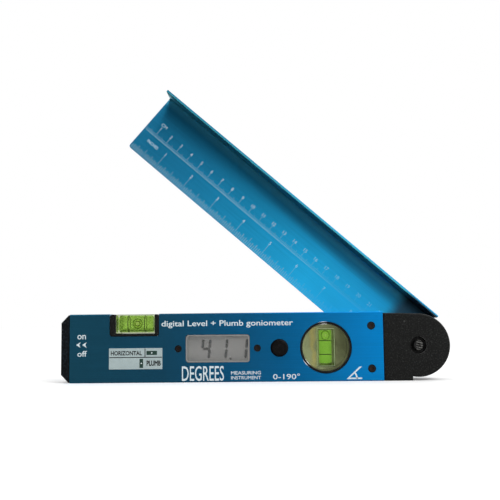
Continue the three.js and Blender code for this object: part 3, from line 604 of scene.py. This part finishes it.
LOOKS = (                    # material, width of the rounded edges in millimetres, and nodes
    (ANODISED_BODY, 0.18, "body_extrusion"),
    (ANODISED_ARM, 0.25, "arm_extrusion"),
    (CAP_PLASTIC, 0.35, "end_cap"),
    (BLACK_PLASTIC, 0.6, "hinge_block"),
    (BLACK_PLASTIC, 0.25, "arm_hub"),
    (BLACK_PLASTIC, 0.2, "level_holder", "plumb_ring"),
    (BLACK_PLASTIC, 0.15, "battery_door"),
    (SATIN_BLACK, 0.12, "power_slider"),
    (SATIN_BLACK, 0.25, "hold_button"),
    (INNER_PLASTIC, 0.15, "switch_housing", "lcd_holder"),
    (INNER_PLASTIC, 0.1, "button_switch"),
    (INNER_PLASTIC, 0.2, "battery_tray"),
    (CHIP, 0.1, "controller_chip"),
    (PANE, 0.2, "lcd_window"),
    (LCD, 0.1, "lcd_glass"),
    (LEVEL_ACRYLIC, 0.28, "level_block"),
    (ACRYLIC, 0.22, "plumb_block"),
    (ACRYLIC, 0.1, "level_plug", "plumb_plug"),
    (AMBER, 0.3, "plumb_disc"),
    (LABEL, 0.04, "vial_label"),
    (ZEBRA, 0.1, "zebra_strip"),
    (BOARD, 0.08, "main_board"),
    (BOARD, 0.06, "encoder_stator", "encoder_rotor"),
    (CABLE, 0.0, "switch_cable", "encoder_cable"),
    (BATTERY, 0.3, "battery_upper", "battery_lower"),
    (SPRING_STEEL, 0.0, "battery_spring_upper", "battery_spring_lower", "wave_washer"),
    (SPRING_STEEL, 0.08, "battery_bridge", "battery_contact_upper", "battery_contact_lower"),
    (NYLON, 0.08, "friction_washer"),
    (BOLT_STEEL, 0.2, "pivot_bolt"),
    (PLATED_STEEL, 0.15, "pivot_nut"),
    (BRASS, 0.15, "pivot_bush"),
    (DISPLAY_STEEL, 0.1, "display_screw_left", "display_screw_right"),
    (HINGE_STEEL, 0.1, "hinge_screw_top", "hinge_screw_bottom"),
    (BLACK_STEEL, 0.1, "hub_screw_1", "hub_screw_2", "hub_screw_3"),
)
EDGES = {                    # nodes whose rounded edges have a material of their own
    "body_extrusion": CUT_EDGE,
    "arm_extrusion": ARM_EDGE,
    # the clear blocks' edges take a painted highlight
    "level_block": ACRYLIC_EDGE_HIGHLIGHT,
    "plumb_block": ACRYLIC_EDGE_HIGHLIGHT,
}
SLOTTED = {"battery_door"}   # a flattened face would fold over itself around its row of slots
SAME_POINT = 0.002 * MM      # vertices this close together become one
FLAT = math.radians(0.4)     # faces that meet at less than this lie in one plane
SHARP = math.radians(32)     # edges sharper than this are rounded


def soften(name, material, width):
    """Gives a CAD node its material, and rounds its sharp edges with modifiers.

    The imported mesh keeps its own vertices: the modifiers weld it, drop the lines across flat
    faces and bevel what is left.
    """
    node = frame["nodes"][name]
    mesh = node.data
    node.material_slots[0].material = material
    if "custom_normal" in mesh.attributes:
        mesh.attributes.remove(mesh.attributes["custom_normal"])
    mesh.shade_smooth()
    node.modifiers.new("weld", "WELD").merge_threshold = SAME_POINT
    if name not in SLOTTED:
        flatten = node.modifiers.new("flatten", "DECIMATE")
        flatten.decimate_type = "DISSOLVE"
        flatten.angle_limit = FLAT
    if width:
        bevel = node.modifiers.new("bevel", "BEVEL")
        bevel.width = width * MM
        bevel.segments = 2
        bevel.limit_method = "ANGLE"
        bevel.angle_limit = SHARP
        if name in EDGES:
            mesh.materials.append(EDGES[name])
            bevel.material = 1
        node.modifiers.new("seal", "WELD").merge_threshold = SAME_POINT
    node.modifiers.new("normals", "WEIGHTED_NORMAL").keep_sharp = False


for surface, edge_width, *names in LOOKS:
    for node_name in names:
        soften(node_name, surface, edge_width)


# ---------------- shapes of the new pieces

def add_prism(bm, outline, y0, y1):
    """A closed slab: the outline's (x, z) points carried from y0 back to y1."""
    front = [bm.verts.new((x, y0, z)) for x, z in outline]
    back = [bm.verts.new((x, y1, z)) for x, z in outline]
    bm.faces.new(front)
    bm.faces.new(list(reversed(back)))
    for i in range(len(front)):
        bm.faces.new((front[i - 1], back[i - 1], back[i], front[i]))


def arc(x, z, radius, start, end, steps):
    """Points on a circle; angles in degrees, anticlockwise from +x."""
    angles = [math.radians(start + (end - start) * i / steps) for i in range(steps + 1)]
    return [(x + radius * math.cos(a), z + radius * math.sin(a)) for a in angles]


def circle(x, z, radius, steps):
    return arc(x, z, radius, 0, 360 - 360 / steps, steps - 1)


def rounded(left, right, low, high, corner, steps=6):
    """A rectangle's outline with round corners."""
    points = arc(right - corner, low + corner, corner, -90, 0, steps)
    points += arc(right - corner, high - corner, corner, 0, 90, steps)
    points += arc(left + corner, high - corner, corner, 90, 180, steps)
    points += arc(left + corner, low + corner, corner, 180, 270, steps)
    return points


def add_frame(bm, outer, inner, y0, y1):
    """A flat ring between two outlines that have the same number of points."""
    corners = ((outer, y0), (outer, y1), (inner, y1), (inner, y0))
    loops = [[bm.verts.new((x, y, z)) for x, z in outline] for outline, y in corners]
    for k, loop in enumerate(loops):
        after = loops[(k + 1) % len(loops)]
        for i in range(len(loop)):
            bm.faces.new((loop[i - 1], loop[i], after[i], after[i - 1]))


def add_turned(bm, profile, centre, axis, steps=48):
    """Turns (along, radius) points about an axis, "X", "Y" or "Z", through centre."""
    order = {"X": (0, 1, 2), "Y": (1, 2, 0), "Z": (2, 0, 1)}[axis]

    def corner(along, radius, angle):
        place = [0.0, 0.0, 0.0]
        place[order[0]] = along
        place[order[1]] = radius * math.cos(angle)
        place[order[2]] = radius * math.sin(angle)
        return Vector(centre) + Vector(place)

    rings = []
    for along, radius in profile:
        if radius == 0.0:
            rings.append([bm.verts.new(corner(along, 0.0, 0.0))] * steps)
        else:
            rings.append([bm.verts.new(corner(along, radius, math.tau * i / steps)) for i in range(steps)])
    for first, second in zip(rings, rings[1:]):
        for i in range(steps):
            corners = [first[i - 1], first[i], second[i], second[i - 1]]
            bm.faces.new(list(dict.fromkeys(corners)))


def rounded_rod(start, end, radius, corner, steps=5):
    """Profile of a rod with rounded ends, as (along, radius) points."""
    turns = [math.pi / 2 * i / steps for i in range(steps + 1)]
    curve = [(corner * (1 - math.sin(a)), radius - corner * (1 - math.cos(a))) for a in turns]
    points = [(start, 0.0)]
    points += [(start + inset, width) for inset, width in reversed(curve)]
    points += [(end - inset, width) for inset, width in curve]
    return points + [(end, 0.0)]


def make_piece(name, build, body, material, place=ON_BODY, smooth=False):
    """Runs build(bm), which draws in millimetres, and hangs the result on a CAD body."""
    bm = bmesh.new()
    build(bm)
    bmesh.ops.remove_doubles(bm, verts=bm.verts, dist=1e-4)
    bmesh.ops.recalc_face_normals(bm, faces=bm.faces)
    bmesh.ops.transform(bm, matrix=place, verts=bm.verts)
    mesh = bpy.data.meshes.new(name)
    bm.to_mesh(mesh)
    bm.free()
    if smooth:
        mesh.shade_smooth()
    mesh.materials.append(material)
    piece = add_object(name, mesh)
    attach(piece, body)
    return piece


# ---------------- ink: bars, shapes and words

LETTER_JOIN = 0.012          # corners of a letter this close together become one, before it swells
LEAST_SLANT = 0.5            # keeps a letter's pointed corner from running far out


def ink_front(surface):
    """The front of a print on a surface at that depth."""
    return surface - INK + SUNK


def add_ink_shape(bm, outline, surface=0.0):
    add_prism(bm, outline, ink_front(surface), surface + SUNK)


def add_ink_bar(bm, left, right, low, high, surface=0.0):
    add_ink_shape(bm, [(left, low), (right, low), (right, high), (left, high)], surface)


def embolden(letters, weight):
    """Moves the outline of extruded letters outwards by weight, in units of the font's size."""
    bmesh.ops.remove_doubles(letters, verts=letters.verts, dist=LETTER_JOIN)
    bmesh.ops.recalc_face_normals(letters, faces=letters.faces)
    moves = []
    for vertex in letters.verts:
        sides = [face.normal for face in vertex.link_faces if abs(face.normal.z) < 0.5]
        outward = sum(sides, Vector()).normalized()
        slant = max(min(outward.dot(side) for side in sides), LEAST_SLANT)
        moves.append(outward * weight / slant)
    for vertex, move in zip(letters.verts, moves):
        vertex.co += move


def letter_mesh(words, weight):
    """Letters that face +z, one unit of the font's size thick."""
    curve = bpy.data.curves.new("words", "FONT")
    curve.body = words
    curve.resolution_u = 3
    curve.extrude = 0.5
    text = bpy.data.objects.new("words", curve)
    mesh = bpy.data.meshes.new_from_object(text)
    bpy.data.objects.remove(text)
    bpy.data.curves.remove(curve)
    letters = bmesh.new()
    letters.from_mesh(mesh)
    embolden(letters, weight)
    letters.to_mesh(mesh)
    letters.free()
    return mesh


def add_words(bm, words, box, surface=0.0, weight=0.0, stretch=True):
    """Printed letters that fill box (left, right, low and high) on a surface, and face -y.

    Letters that aren't stretched keep their shape: they fill the box's height, in its middle.
    """
    left, right, low, high = box
    mesh = letter_mesh(words, weight)
    xs = [vertex.co.x for vertex in mesh.vertices]
    zs = [vertex.co.y for vertex in mesh.vertices]
    tall = (high - low) / (max(zs) - min(zs))
    wide = (right - left) / (max(xs) - min(xs)) if stretch else tall
    centre = Vector(((min(xs) + max(xs)) / 2, (min(zs) + max(zs)) / 2, 0.5))
    stand = Matrix(((wide, 0, 0, 0), (0, 0, -INK, 0), (0, tall, 0, 0), (0, 0, 0, 1)))
    target = Vector(((left + right) / 2, ink_front(surface), (low + high) / 2))
    mesh.transform(Matrix.Translation(target) @ stand @ Matrix.Translation(-centre))
    bm.from_mesh(mesh)
    bpy.data.meshes.remove(mesh)


# ---------------- print on the body

BODY_WORDS = (               # words, their left, right, low and high, and how much bolder they are
    ("on", (-235.0, -229.1, 6.1, 9.2), 0.006),
    ("off", (-234.9, -228.3, -5.8, -1.8), 0.006),
    ("digital Level + Plumb goniometer", (-176.5, -85.7, 13.2, 18.3), 0.008),
    ("DEGREES", (-162.4, -133.5, -23.0, -12.9), 0.004),
    ("MEASURING", (-128.6, -108.1, -18.9, -16.6), 0.01),
    ("INSTRUMENT", (-128.6, -108.1, -22.2, -19.9), 0.01),
    ("0-190°", (-99.8, -81.4, -22.4, -18.6), 0.004),
)
ARROWHEAD = ((0.0, 0.0), (3.1, 1.95), (2.1, 0.0), (3.1, -1.95))    # x and z from its tip
ARROW_TIPS = ((-235.8, 2.25), (-231.6, 2.25))
ANGLE_SIGN = {"left": -49.6, "low": -22.6, "width": 10.6, "height": 8.4, "stroke": 1.0, "share": 0.72}


def add_angle_sign(bm, left, low, width, height, stroke, share):
    """Two legs, and an arc between them at that share of their width."""
    right, high = left + width, low + height
    slope = height / width
    lean = stroke * math.hypot(1.0, slope) / slope
    fork = left + stroke / slope + stroke
    level_leg = [(left, low), (right, low), (right, low + stroke), (fork, low + stroke)]
    add_ink_shape(bm, level_leg + [(right, high), (right - lean, high)])
    steep = math.degrees(math.atan(slope))
    outer = arc(left, low, width * share, 2, steep - 2, 8)
    inner = arc(left, low, width * share - stroke, steep - 2, 2, 8)
    add_ink_shape(bm, outer + inner)


def body_print(bm):
    for words, box, weight in BODY_WORDS:
        add_words(bm, words, box, weight=weight)
    for tip_x, tip_z in ARROW_TIPS:
        add_ink_shape(bm, [(tip_x + x, tip_z + z) for x, z in ARROWHEAD])
    add_angle_sign(bm, **ANGLE_SIGN)


make_piece("body_print", body_print, "body", WHITE_INK)


# ---------------- print on the vial label

LABEL_LOW, LABEL_HIGH = low_high("vial_label")
LABEL_FACE = LABEL_LOW.y
LABEL_LINE = 0.3             # half of the width of the lines between the fields
LABEL_CROSS = (-187.9, -6.6)     # where the lines meet
LABEL_WORDS = (
    ("HORIZONTAL", (-211.6, -190.0, -5.2, -2.1), 0.03),
    ("PLUMB", (-186.8, -177.0, -12.5, -8.8), 0.04),
)
LABEL_BARS = ((-186.9, -179.6, -5.0, -2.2), (-191.7, -189.2, -13.8, -7.6))
LABEL_DOTS = ((-183.2, -3.6), (-190.45, -10.7))


def label_print(bm):
    x, z = LABEL_CROSS
    line = LABEL_LINE
    add_ink_bar(bm, LABEL_LOW.x + line, LABEL_HIGH.x - line, z - line, z + line, LABEL_FACE)
    add_ink_bar(bm, x - line, x + line, z + line, LABEL_HIGH.z - line, LABEL_FACE)
    for words, box, weight in LABEL_WORDS:
        add_words(bm, words, box, LABEL_FACE, weight)


def label_bars(bm):
    """A small picture of each vial, lying and standing."""
    for bar in LABEL_BARS:
        add_ink_bar(bm, *bar, LABEL_FACE)


def label_dots(bm):
    for x, z in LABEL_DOTS:
        add_ink_shape(bm, circle(x, z, 0.45, 24), LABEL_FACE - INK)


make_piece("label_print", label_print, "body", BLACK_INK)
make_piece("label_bars", label_bars, "body", GREEN_INK)
make_piece("label_dots", label_dots, "body", WHITE_INK)


# ---------------- display

GLASS_FACE = low_high("lcd_glass")[0].y
DIGIT_WIDTH = 4.9
DIGIT_LOW, DIGIT_WAIST, DIGIT_HIGH = -8.1, -1.3, 5.5
STROKE = 1.9                 # width of a segment
SEGMENT_GAP = 0.1            # from a segment's point to the digit's corner
LEAN = 0.10                  # how far the digits lean for each millimetre up
SEGMENTS_OF = {"4": "bcfg", "1": "bc"}
READING = (("4", -149.1), ("1", -137.4), ("1", -123.6))    # digits and their left sides
POINT_X = -128.9
POINT_RADIUS = 0.8
SEGMENT_PROUD = 0.05         # how far the digits stand out of the glass
RIM_INSET = 1.35             # from the pane's outer edge, past its hidden flange, to the opening
RIM_WIDTH = 0.8
RIM_CORNER = 1.9
RIM_PROUD = 0.06             # how far the rim stands out of the pane


def segment_line(letter, left):
    """The two ends of a segment, before the digit leans."""
    right = left + DIGIT_WIDTH
    return {
        "b": ((right, DIGIT_WAIST), (right, DIGIT_HIGH)),
        "c": ((right, DIGIT_LOW), (right, DIGIT_WAIST)),
        "f": ((left, DIGIT_WAIST), (left, DIGIT_HIGH)),
        "g": ((left, DIGIT_WAIST), (right, DIGIT_WAIST)),
    }[letter]


def segment(start, end):
    """A bar's outline with pointed ends, a little shorter than the line from start to end."""
    start, end = Vector(start), Vector(end)
    along = (end - start).normalized()
    side = Vector((-along.y, along.x)) * STROKE / 2
    tip = along * SEGMENT_GAP
    shoulder = along * (SEGMENT_GAP + STROKE / 2)
    points = [start + tip, start + shoulder - side, end - shoulder - side,
              end - tip, end - shoulder + side, start + shoulder + side]
    return [(x + LEAN * (z - DIGIT_LOW), z) for x, z in points]


def lcd_digits(bm):
    outlines = [circle(POINT_X, DIGIT_LOW, POINT_RADIUS, 16)]
    for digit, left in READING:
        outlines += [segment(*segment_line(letter, left)) for letter in SEGMENTS_OF[digit]]
    for outline in outlines:
        add_prism(bm, outline, GLASS_FACE - SEGMENT_PROUD, GLASS_FACE + SUNK)


def display_rim(bm):
    """A painted highlight: the light edge of the pane, just inside the opening."""
    low, high = low_high("lcd_window")
    outlines = []
    for inset, corner in ((RIM_INSET, RIM_CORNER), (RIM_INSET + RIM_WIDTH, RIM_CORNER - RIM_WIDTH)):
        outlines.append(rounded(low.x + inset, high.x - inset, low.z + inset, high.z - inset, corner))
    add_frame(bm, *outlines, low.y - RIM_PROUD, low.y + SUNK)


make_piece("lcd_digits", lcd_digits, "body", SEGMENT_INK)
make_piece("display_rim", display_rim, "body", RIM)


# ---------------- vials

WETTING = 0.35               # how far a liquid reaches into its bore's wall, so that no gap shows
MENISCUS = 0.6               # radius of the liquid's round ends
BUBBLE_DEPTH = 2.7           # from the bore's front to the middle of a bubble
BUBBLE_LINE = 0.2            # half of the width of the dark line around a bubble
MARK_WIDTH = 0.45            # width of a hoop that is painted around a vial
MARK_INSIDE = 0.12           # how far the hoop reaches into the liquid
MARK_OUTSIDE = 0.06          # and how far it stands out


class Vial:
    """A tube of liquid: its axis, a point on it, its bore, its ends, its marks and its bubble."""

    def __init__(self, axis, centre, bore, ends, marks, bubble, bubble_size, bubble_press):
        self.axis = axis
        self.centre = centre
        self.radius = bore + WETTING
        self.ends = ends
        self.marks = marks
        self.bubble = bubble
        self.bubble_size = bubble_size
        self.bubble_reach = self.radius + bubble_press

    def add_liquid(self, bm):
        add_turned(bm, rounded_rod(*self.ends, self.radius, MENISCUS), self.centre, self.axis)

    def add_bubble(self, bm):
        """An ellipsoid, flattened where it presses against the bore."""
        front = self.bubble + Vector((0, BUBBLE_DEPTH - self.radius, 0))
        place = Matrix.Translation(front) @ Matrix.Diagonal((*self.bubble_size, 1.0))
        made = bmesh.ops.create_uvsphere(bm, u_segments=40, v_segments=24, radius=1.0, matrix=place)
        for vertex in made["verts"]:
            off_axis = vertex.co - self.centre
            off_axis["XYZ".index(self.axis)] = 0.0
            if off_axis.length > self.bubble_reach:
                vertex.co -= off_axis * (1 - self.bubble_reach / off_axis.length)

    def add_outline(self, bm, wide, tall):
        """A dark line of painted shade around the bubble, bent onto the vial's front."""
        points = []
        for x, z in circle(0.0, 0.0, 1.0, 40):
            x, z = x * wide, z * tall
            off_axis = z if self.axis == "X" else x
            points.append(self.bubble + Vector((x, -math.sqrt(self.radius ** 2 - off_axis ** 2), z)))
        add_wire(bm, points, BUBBLE_LINE)

    def add_marks(self, bm):
        inside, outside = self.radius - MARK_INSIDE, self.radius + MARK_OUTSIDE
        for at in self.marks:
            start, end = at - MARK_WIDTH / 2, at + MARK_WIDTH / 2
            hoop = [(start, inside), (start, outside), (end, outside), (end, inside), (start, inside)]
            add_turned(bm, hoop, self.centre, self.axis)


def add_wire(bm, points, radius):
    """A closed loop of thin wire with a four-sided section."""
    loops = []
    for i, point in enumerate(points):
        along = (points[(i + 1) % len(points)] - points[i - 1]).normalized()
        side = along.cross(Vector((0, 1, 0))).normalized() * radius
        back = Vector((0, radius, 0))
        loops.append([bm.verts.new(point + offset) for offset in (side, back, -side, -back)])
    for i, loop in enumerate(loops):
        for k in range(4):
            bm.faces.new((loops[i - 1][k - 1], loops[i - 1][k], loop[k], loop[k - 1]))


def level_vial():
    """The lying vial; its block stands a little lower than the middle of the plug."""
    plug_low, plug_high = low_high("level_plug")
    low, high = low_high("level_liquid")
    centre = Vector((0.0, middle("level_plug").y, middle("level_plug").z - 0.45))
    return Vial(
        axis="X", centre=centre, bore=(plug_high.z - plug_low.z) / 2 + 0.4, ends=(low.x - 1.2, high.x + 0.3),
        marks=(-201.0, -189.4), bubble=Vector((-194.2, centre.y, centre.z + 0.1)),
        bubble_size=(3.2, 3.0, 3.2), bubble_press=0.15,
    )


def plumb_vial():
    plug_low, plug_high = low_high("plumb_plug")
    low, high = low_high("plumb_liquid")
    centre = Vector((middle("plumb_plug").x, middle("plumb_plug").y, 0.0))
    return Vial(
        axis="Z", centre=centre, bore=(plug_high.x - plug_low.x) / 2, ends=(low.z - 0.3, high.z + 0.3),
        marks=(3.6, -5.9), bubble=Vector((centre.x, centre.y, high.z - 3.4)),
        bubble_size=(2.8, 2.9, 3.1), bubble_press=0.1,
    )


LEVEL = level_vial()
PLUMB = plumb_vial()


def bubble_outlines(bm):
    """Painted shade: dark lines along both rims, and one at the ring of light inside the level's bubble."""
    LEVEL.add_outline(bm, 3.3, 3.3)
    LEVEL.add_outline(bm, 1.8, 1.7)
    PLUMB.add_outline(bm, 2.8, 3.1)


level_fill = make_piece("level_fill", LEVEL.add_liquid, "body", LEVEL_LIQUID, smooth=True)
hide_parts("level_liquid")
plumb_fill = make_piece("plumb_fill", PLUMB.add_liquid, "body", PLUMB_LIQUID, smooth=True)
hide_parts("plumb_liquid")
make_piece("level_bubble", LEVEL.add_bubble, "body", AIR, smooth=True)
make_piece("plumb_bubble", PLUMB.add_bubble, "body", AIR, smooth=True)
make_piece("bubble_outlines", bubble_outlines, "body", OUTLINE)
make_piece("level_marks", LEVEL.add_marks, "body", BLACK_INK)
make_piece("plumb_marks", PLUMB.add_marks, "body", BLACK_INK)


# ---------------- rulers on the arm

INCH = 25.4
CM_RULER = 225               # millimetres that the centimetre ruler runs from the arm's end
INCH_RULER = 8               # inches that the inch ruler runs
CM_BASE = -4.94              # line that the centimetre ticks stand on
INCH_BASE = ARM_LOW.z + 0.5  # line that the inch ticks stand on
CM_TICKS = {10: 0.6, 5: -1.9, 1: -2.9}     # top of the tick at every so many millimetres
INCH_TICKS = {16: -11.8, 8: -16.3, 4: -17.6, 2: -18.6, 1: -19.4}    # at every so many sixteenths
CM_LINE = 0.14               # widths of the ticks
INCH_LINE = 0.15
FINE_INCH_LINE = 0.28
CM_NUMBERS = (0.9, 3.4)      # foot and head of the numbers
INCH_NUMBERS = (-11.7, -9.2)


def highest_tick(ticks, count):
    return next(top for step, top in ticks.items() if count % step == 0)


def add_tick(bm, distance, low, high, width):
    """A tick that far from the arm's end."""
    x = ARM_END + distance
    add_ink_bar(bm, x - width / 2, x + width / 2, low, high, ARM_FACE)


def arm_ticks(bm):
    for millimetre in range(1, CM_RULER + 1):
        add_tick(bm, millimetre, CM_BASE, highest_tick(CM_TICKS, millimetre), CM_LINE)
    add_ink_bar(bm, ARM_END + 1.5, ARM_END + CM_RULER, CM_BASE - 0.2, CM_BASE - 0.02, ARM_FACE)
    for sixteenth in range(1, INCH_RULER * 16 + 1):
        width = FINE_INCH_LINE if sixteenth % 8 else INCH_LINE
        add_tick(bm, sixteenth * INCH / 16, INCH_BASE, highest_tick(INCH_TICKS, sixteenth), width)


def add_numbers(bm, count, pitch, heights):
    for number in range(1, count + 1):
        x = ARM_END + number * pitch
        add_words(bm, str(number), (x, x, *heights), ARM_FACE, stretch=False)


def arm_numbers(bm):
    add_numbers(bm, CM_RULER // 10, 10, CM_NUMBERS)
    add_words(bm, "CM", (ARM_END + 8.2, ARM_END + 13.1, 4.2, 6.5), ARM_FACE)
    add_numbers(bm, INCH_RULER, INCH, INCH_NUMBERS)
    add_words(bm, "INCHES", (ARM_END + 8.1, ARM_END + 17.9, -11.8, -9.5), ARM_FACE)


make_piece("arm_ticks", arm_ticks, "arm", RULER_INK, ON_ARM)
make_piece("arm_numbers", arm_numbers, "arm", NUMBER_INK, ON_ARM)


# ---------------- moulding marks

GATE_MARK = Vector((-9.3, 0.0, 16.3))    # beside the hinge block's top edge
DOOR_ARROW = ((-6, -1), (1.5, -1), (1.5, -3), (6, 0), (1.5, 3), (1.5, 1), (-6, 1))    # from the door's middle
DOOR_ARROW_PROUD = 0.09


def gate_mark(bm):
    """The low button that is left where the plastic flowed into the mould."""
    button = [(-0.04, 0.0), (-0.04, 0.5), (SUNK, 0.8), (SUNK, 0.0)]
    add_turned(bm, button, GATE_MARK, "Y", 24)


def door_arrow(bm):
    """A moulded arrow that points the way the door slides open, towards the hinge."""
    middle_x, _, middle_z = middle("battery_door")
    surface = low_high("battery_door")[1].y
    outline = [(middle_x + x, middle_z + z) for x, z in DOOR_ARROW]
    add_prism(bm, outline, surface - SUNK, surface + DOOR_ARROW_PROUD)


make_piece("gate_mark", gate_mark, "body", GATE_PLASTIC)
make_piece("door_arrow", door_arrow, "battery_door", ARROW_PLASTIC)


# ---------------- parts on the circuit board

SOLDERED = 0.02              # how far a part reaches into the board
RESISTOR_LENGTH, RESISTOR_WIDTH, RESISTOR_HEIGHT = 1.9, 1.1, 0.55
CAPACITOR_RADIUS, CAPACITOR_HEIGHT = 1.9, 1.8


def board_parts(bm):
    """Rows of resistors and two capacitors, soldered behind the display."""
    low, high = low_high("main_board")
    bottom = high.y - SOLDERED
    for row in range(3):
        for column in range(7):
            x = low.x + 6 + column * 5.5
            z = low.z + 5 + row * 3.2
            outline = rounded(x, x + RESISTOR_LENGTH, z, z + RESISTOR_WIDTH, 0.15, 2)
            add_prism(bm, outline, bottom, high.y + RESISTOR_HEIGHT)
    can = rounded_rod(bottom, high.y + CAPACITOR_HEIGHT, CAPACITOR_RADIUS, 0.3)
    for x in (low.x + 50, low.x + 58):
        add_turned(bm, can, (x, 0, low.z + 7), "Y", 24)


make_piece("board_parts", board_parts, "body", CHIP)


# ---------------- stage and light

FLOOR_RADIUS = 12.0          # metres
FLOOR_FADE = (0.3, 1.2)      # metres from the tool over which the floor goes over into white
KEY_LIGHT = {"place": (0.7, -0.9, 1.2), "aim": (0.0, 0.0, 0.08), "size": 0.9, "power": 9.0}

# Brightness of the room by the direction of a reflection, in degrees: around to the right, and up.
ROOM_AROUND = ((-180, 0.50), (-130, 0.30), (-90, 0.08), (-40, 0.045), (-10, 0.075), (-3, 0.14), (3, 0.27),
               (8, 0.74), (14, 1.0), (70, 1.0), (120, 0.7), (180, 0.50))
ROOM_UP = ((-90, 0.10), (-8, 0.18), (-1, 0.35), (3, 0.90), (6, 1.0), (10, 0.80), (16, 0.72), (90, 0.9))
ROOM_STRENGTH = 2.7


def floor_material():
    """Pale and matt near the tool, and as bright as the surroundings far from it."""
    look = Look("floor", (0.86, 0.86, 0.86), 0.9, specular=0.1, glow=1.0)
    far = look.node("ShaderNodeVectorMath", {0: look.place(1 / MM)}, operation="LENGTH")
    share = look.above(far.outputs["Value"], *FLOOR_FADE, smooth=True)
    look.paint(look.blend(share, (0.90, 0.90, 0.90), (0.0, 0.0, 0.0)))
    glow = look.blend(share, (0.12, 0.12, 0.12), (1.0, 1.0, 1.0))
    look.feed(look.shader, {"Emission Color": glow})
    return look.material


def add_floor():
    mesh = bpy.data.meshes.new("floor")
    bm = bmesh.new()
    bmesh.ops.create_circle(bm, cap_ends=True, segments=64, radius=FLOOR_RADIUS)
    bm.to_mesh(mesh)
    bm.free()
    mesh.materials.append(floor_material())
    floor = add_object("floor", mesh)
    floor.visible_glossy = False


def brightness(world, angle, points):
    """A smooth curve of brightness over an angle; points are (degrees, brightness)."""
    first, last = points[0][0], points[-1][0]
    span = last - first
    share = world.combine("DIVIDE", world.combine("SUBTRACT", angle, math.radians(first)), math.radians(span))
    stops = [((degrees - first) / span, (value, value, value)) for degrees, value in points]
    return world.ramp(share, stops, "EASE")


def add_world():
    """White to the eye; reflections see a room that is dark at the left and below."""
    studio = bpy.data.worlds.new("studio")
    bpy.context.scene.world = studio
    world = Nodes(studio)
    direction = world.node("ShaderNodeTexCoord", {}).outputs["Generated"]
    split = world.node("ShaderNodeSeparateXYZ", {"Vector": direction})
    ahead = world.combine("MULTIPLY", split.outputs["Y"], -1.0)
    around = world.combine("ARCTAN2", split.outputs["X"], ahead)
    up = world.combine("ARCSINE", split.outputs["Z"])
    room = world.combine("MULTIPLY", brightness(world, around, ROOM_AROUND), brightness(world, up, ROOM_UP))
    reflected = world.combine("MULTIPLY", room, ROOM_STRENGTH)
    rays = world.node("ShaderNodeLightPath", {})
    straight = world.combine("SUBTRACT", 1.0, rays.outputs["Is Transmission Ray"])
    mirror = world.combine("MULTIPLY", rays.outputs["Is Glossy Ray"], straight)
    darker = world.combine("MULTIPLY", mirror, world.combine("SUBTRACT", 1.0, reflected))
    strength = world.combine("SUBTRACT", 1.0, darker)
    world.feed(world.nodes["Background"], {"Color": (1.0, 1.0, 1.0), "Strength": strength})


def add_softbox(name, place, aim, size, power):
    """A round lamp that shines on aim; mirrors don't show it."""
    data = bpy.data.lights.new(name, "AREA")
    data.shape = "DISK"
    data.size = size
    data.energy = power
    light = add_object(name, data)
    facing = (Vector(aim) - Vector(place)).to_track_quat("-Z", "Y").to_matrix().to_4x4()
    light.matrix_world = Matrix.Translation(place) @ facing
    light.visible_glossy = False


bpy.context.scene.view_settings.view_transform = "Standard"
add_floor()
add_world()
add_softbox("key", **KEY_LIGHT)
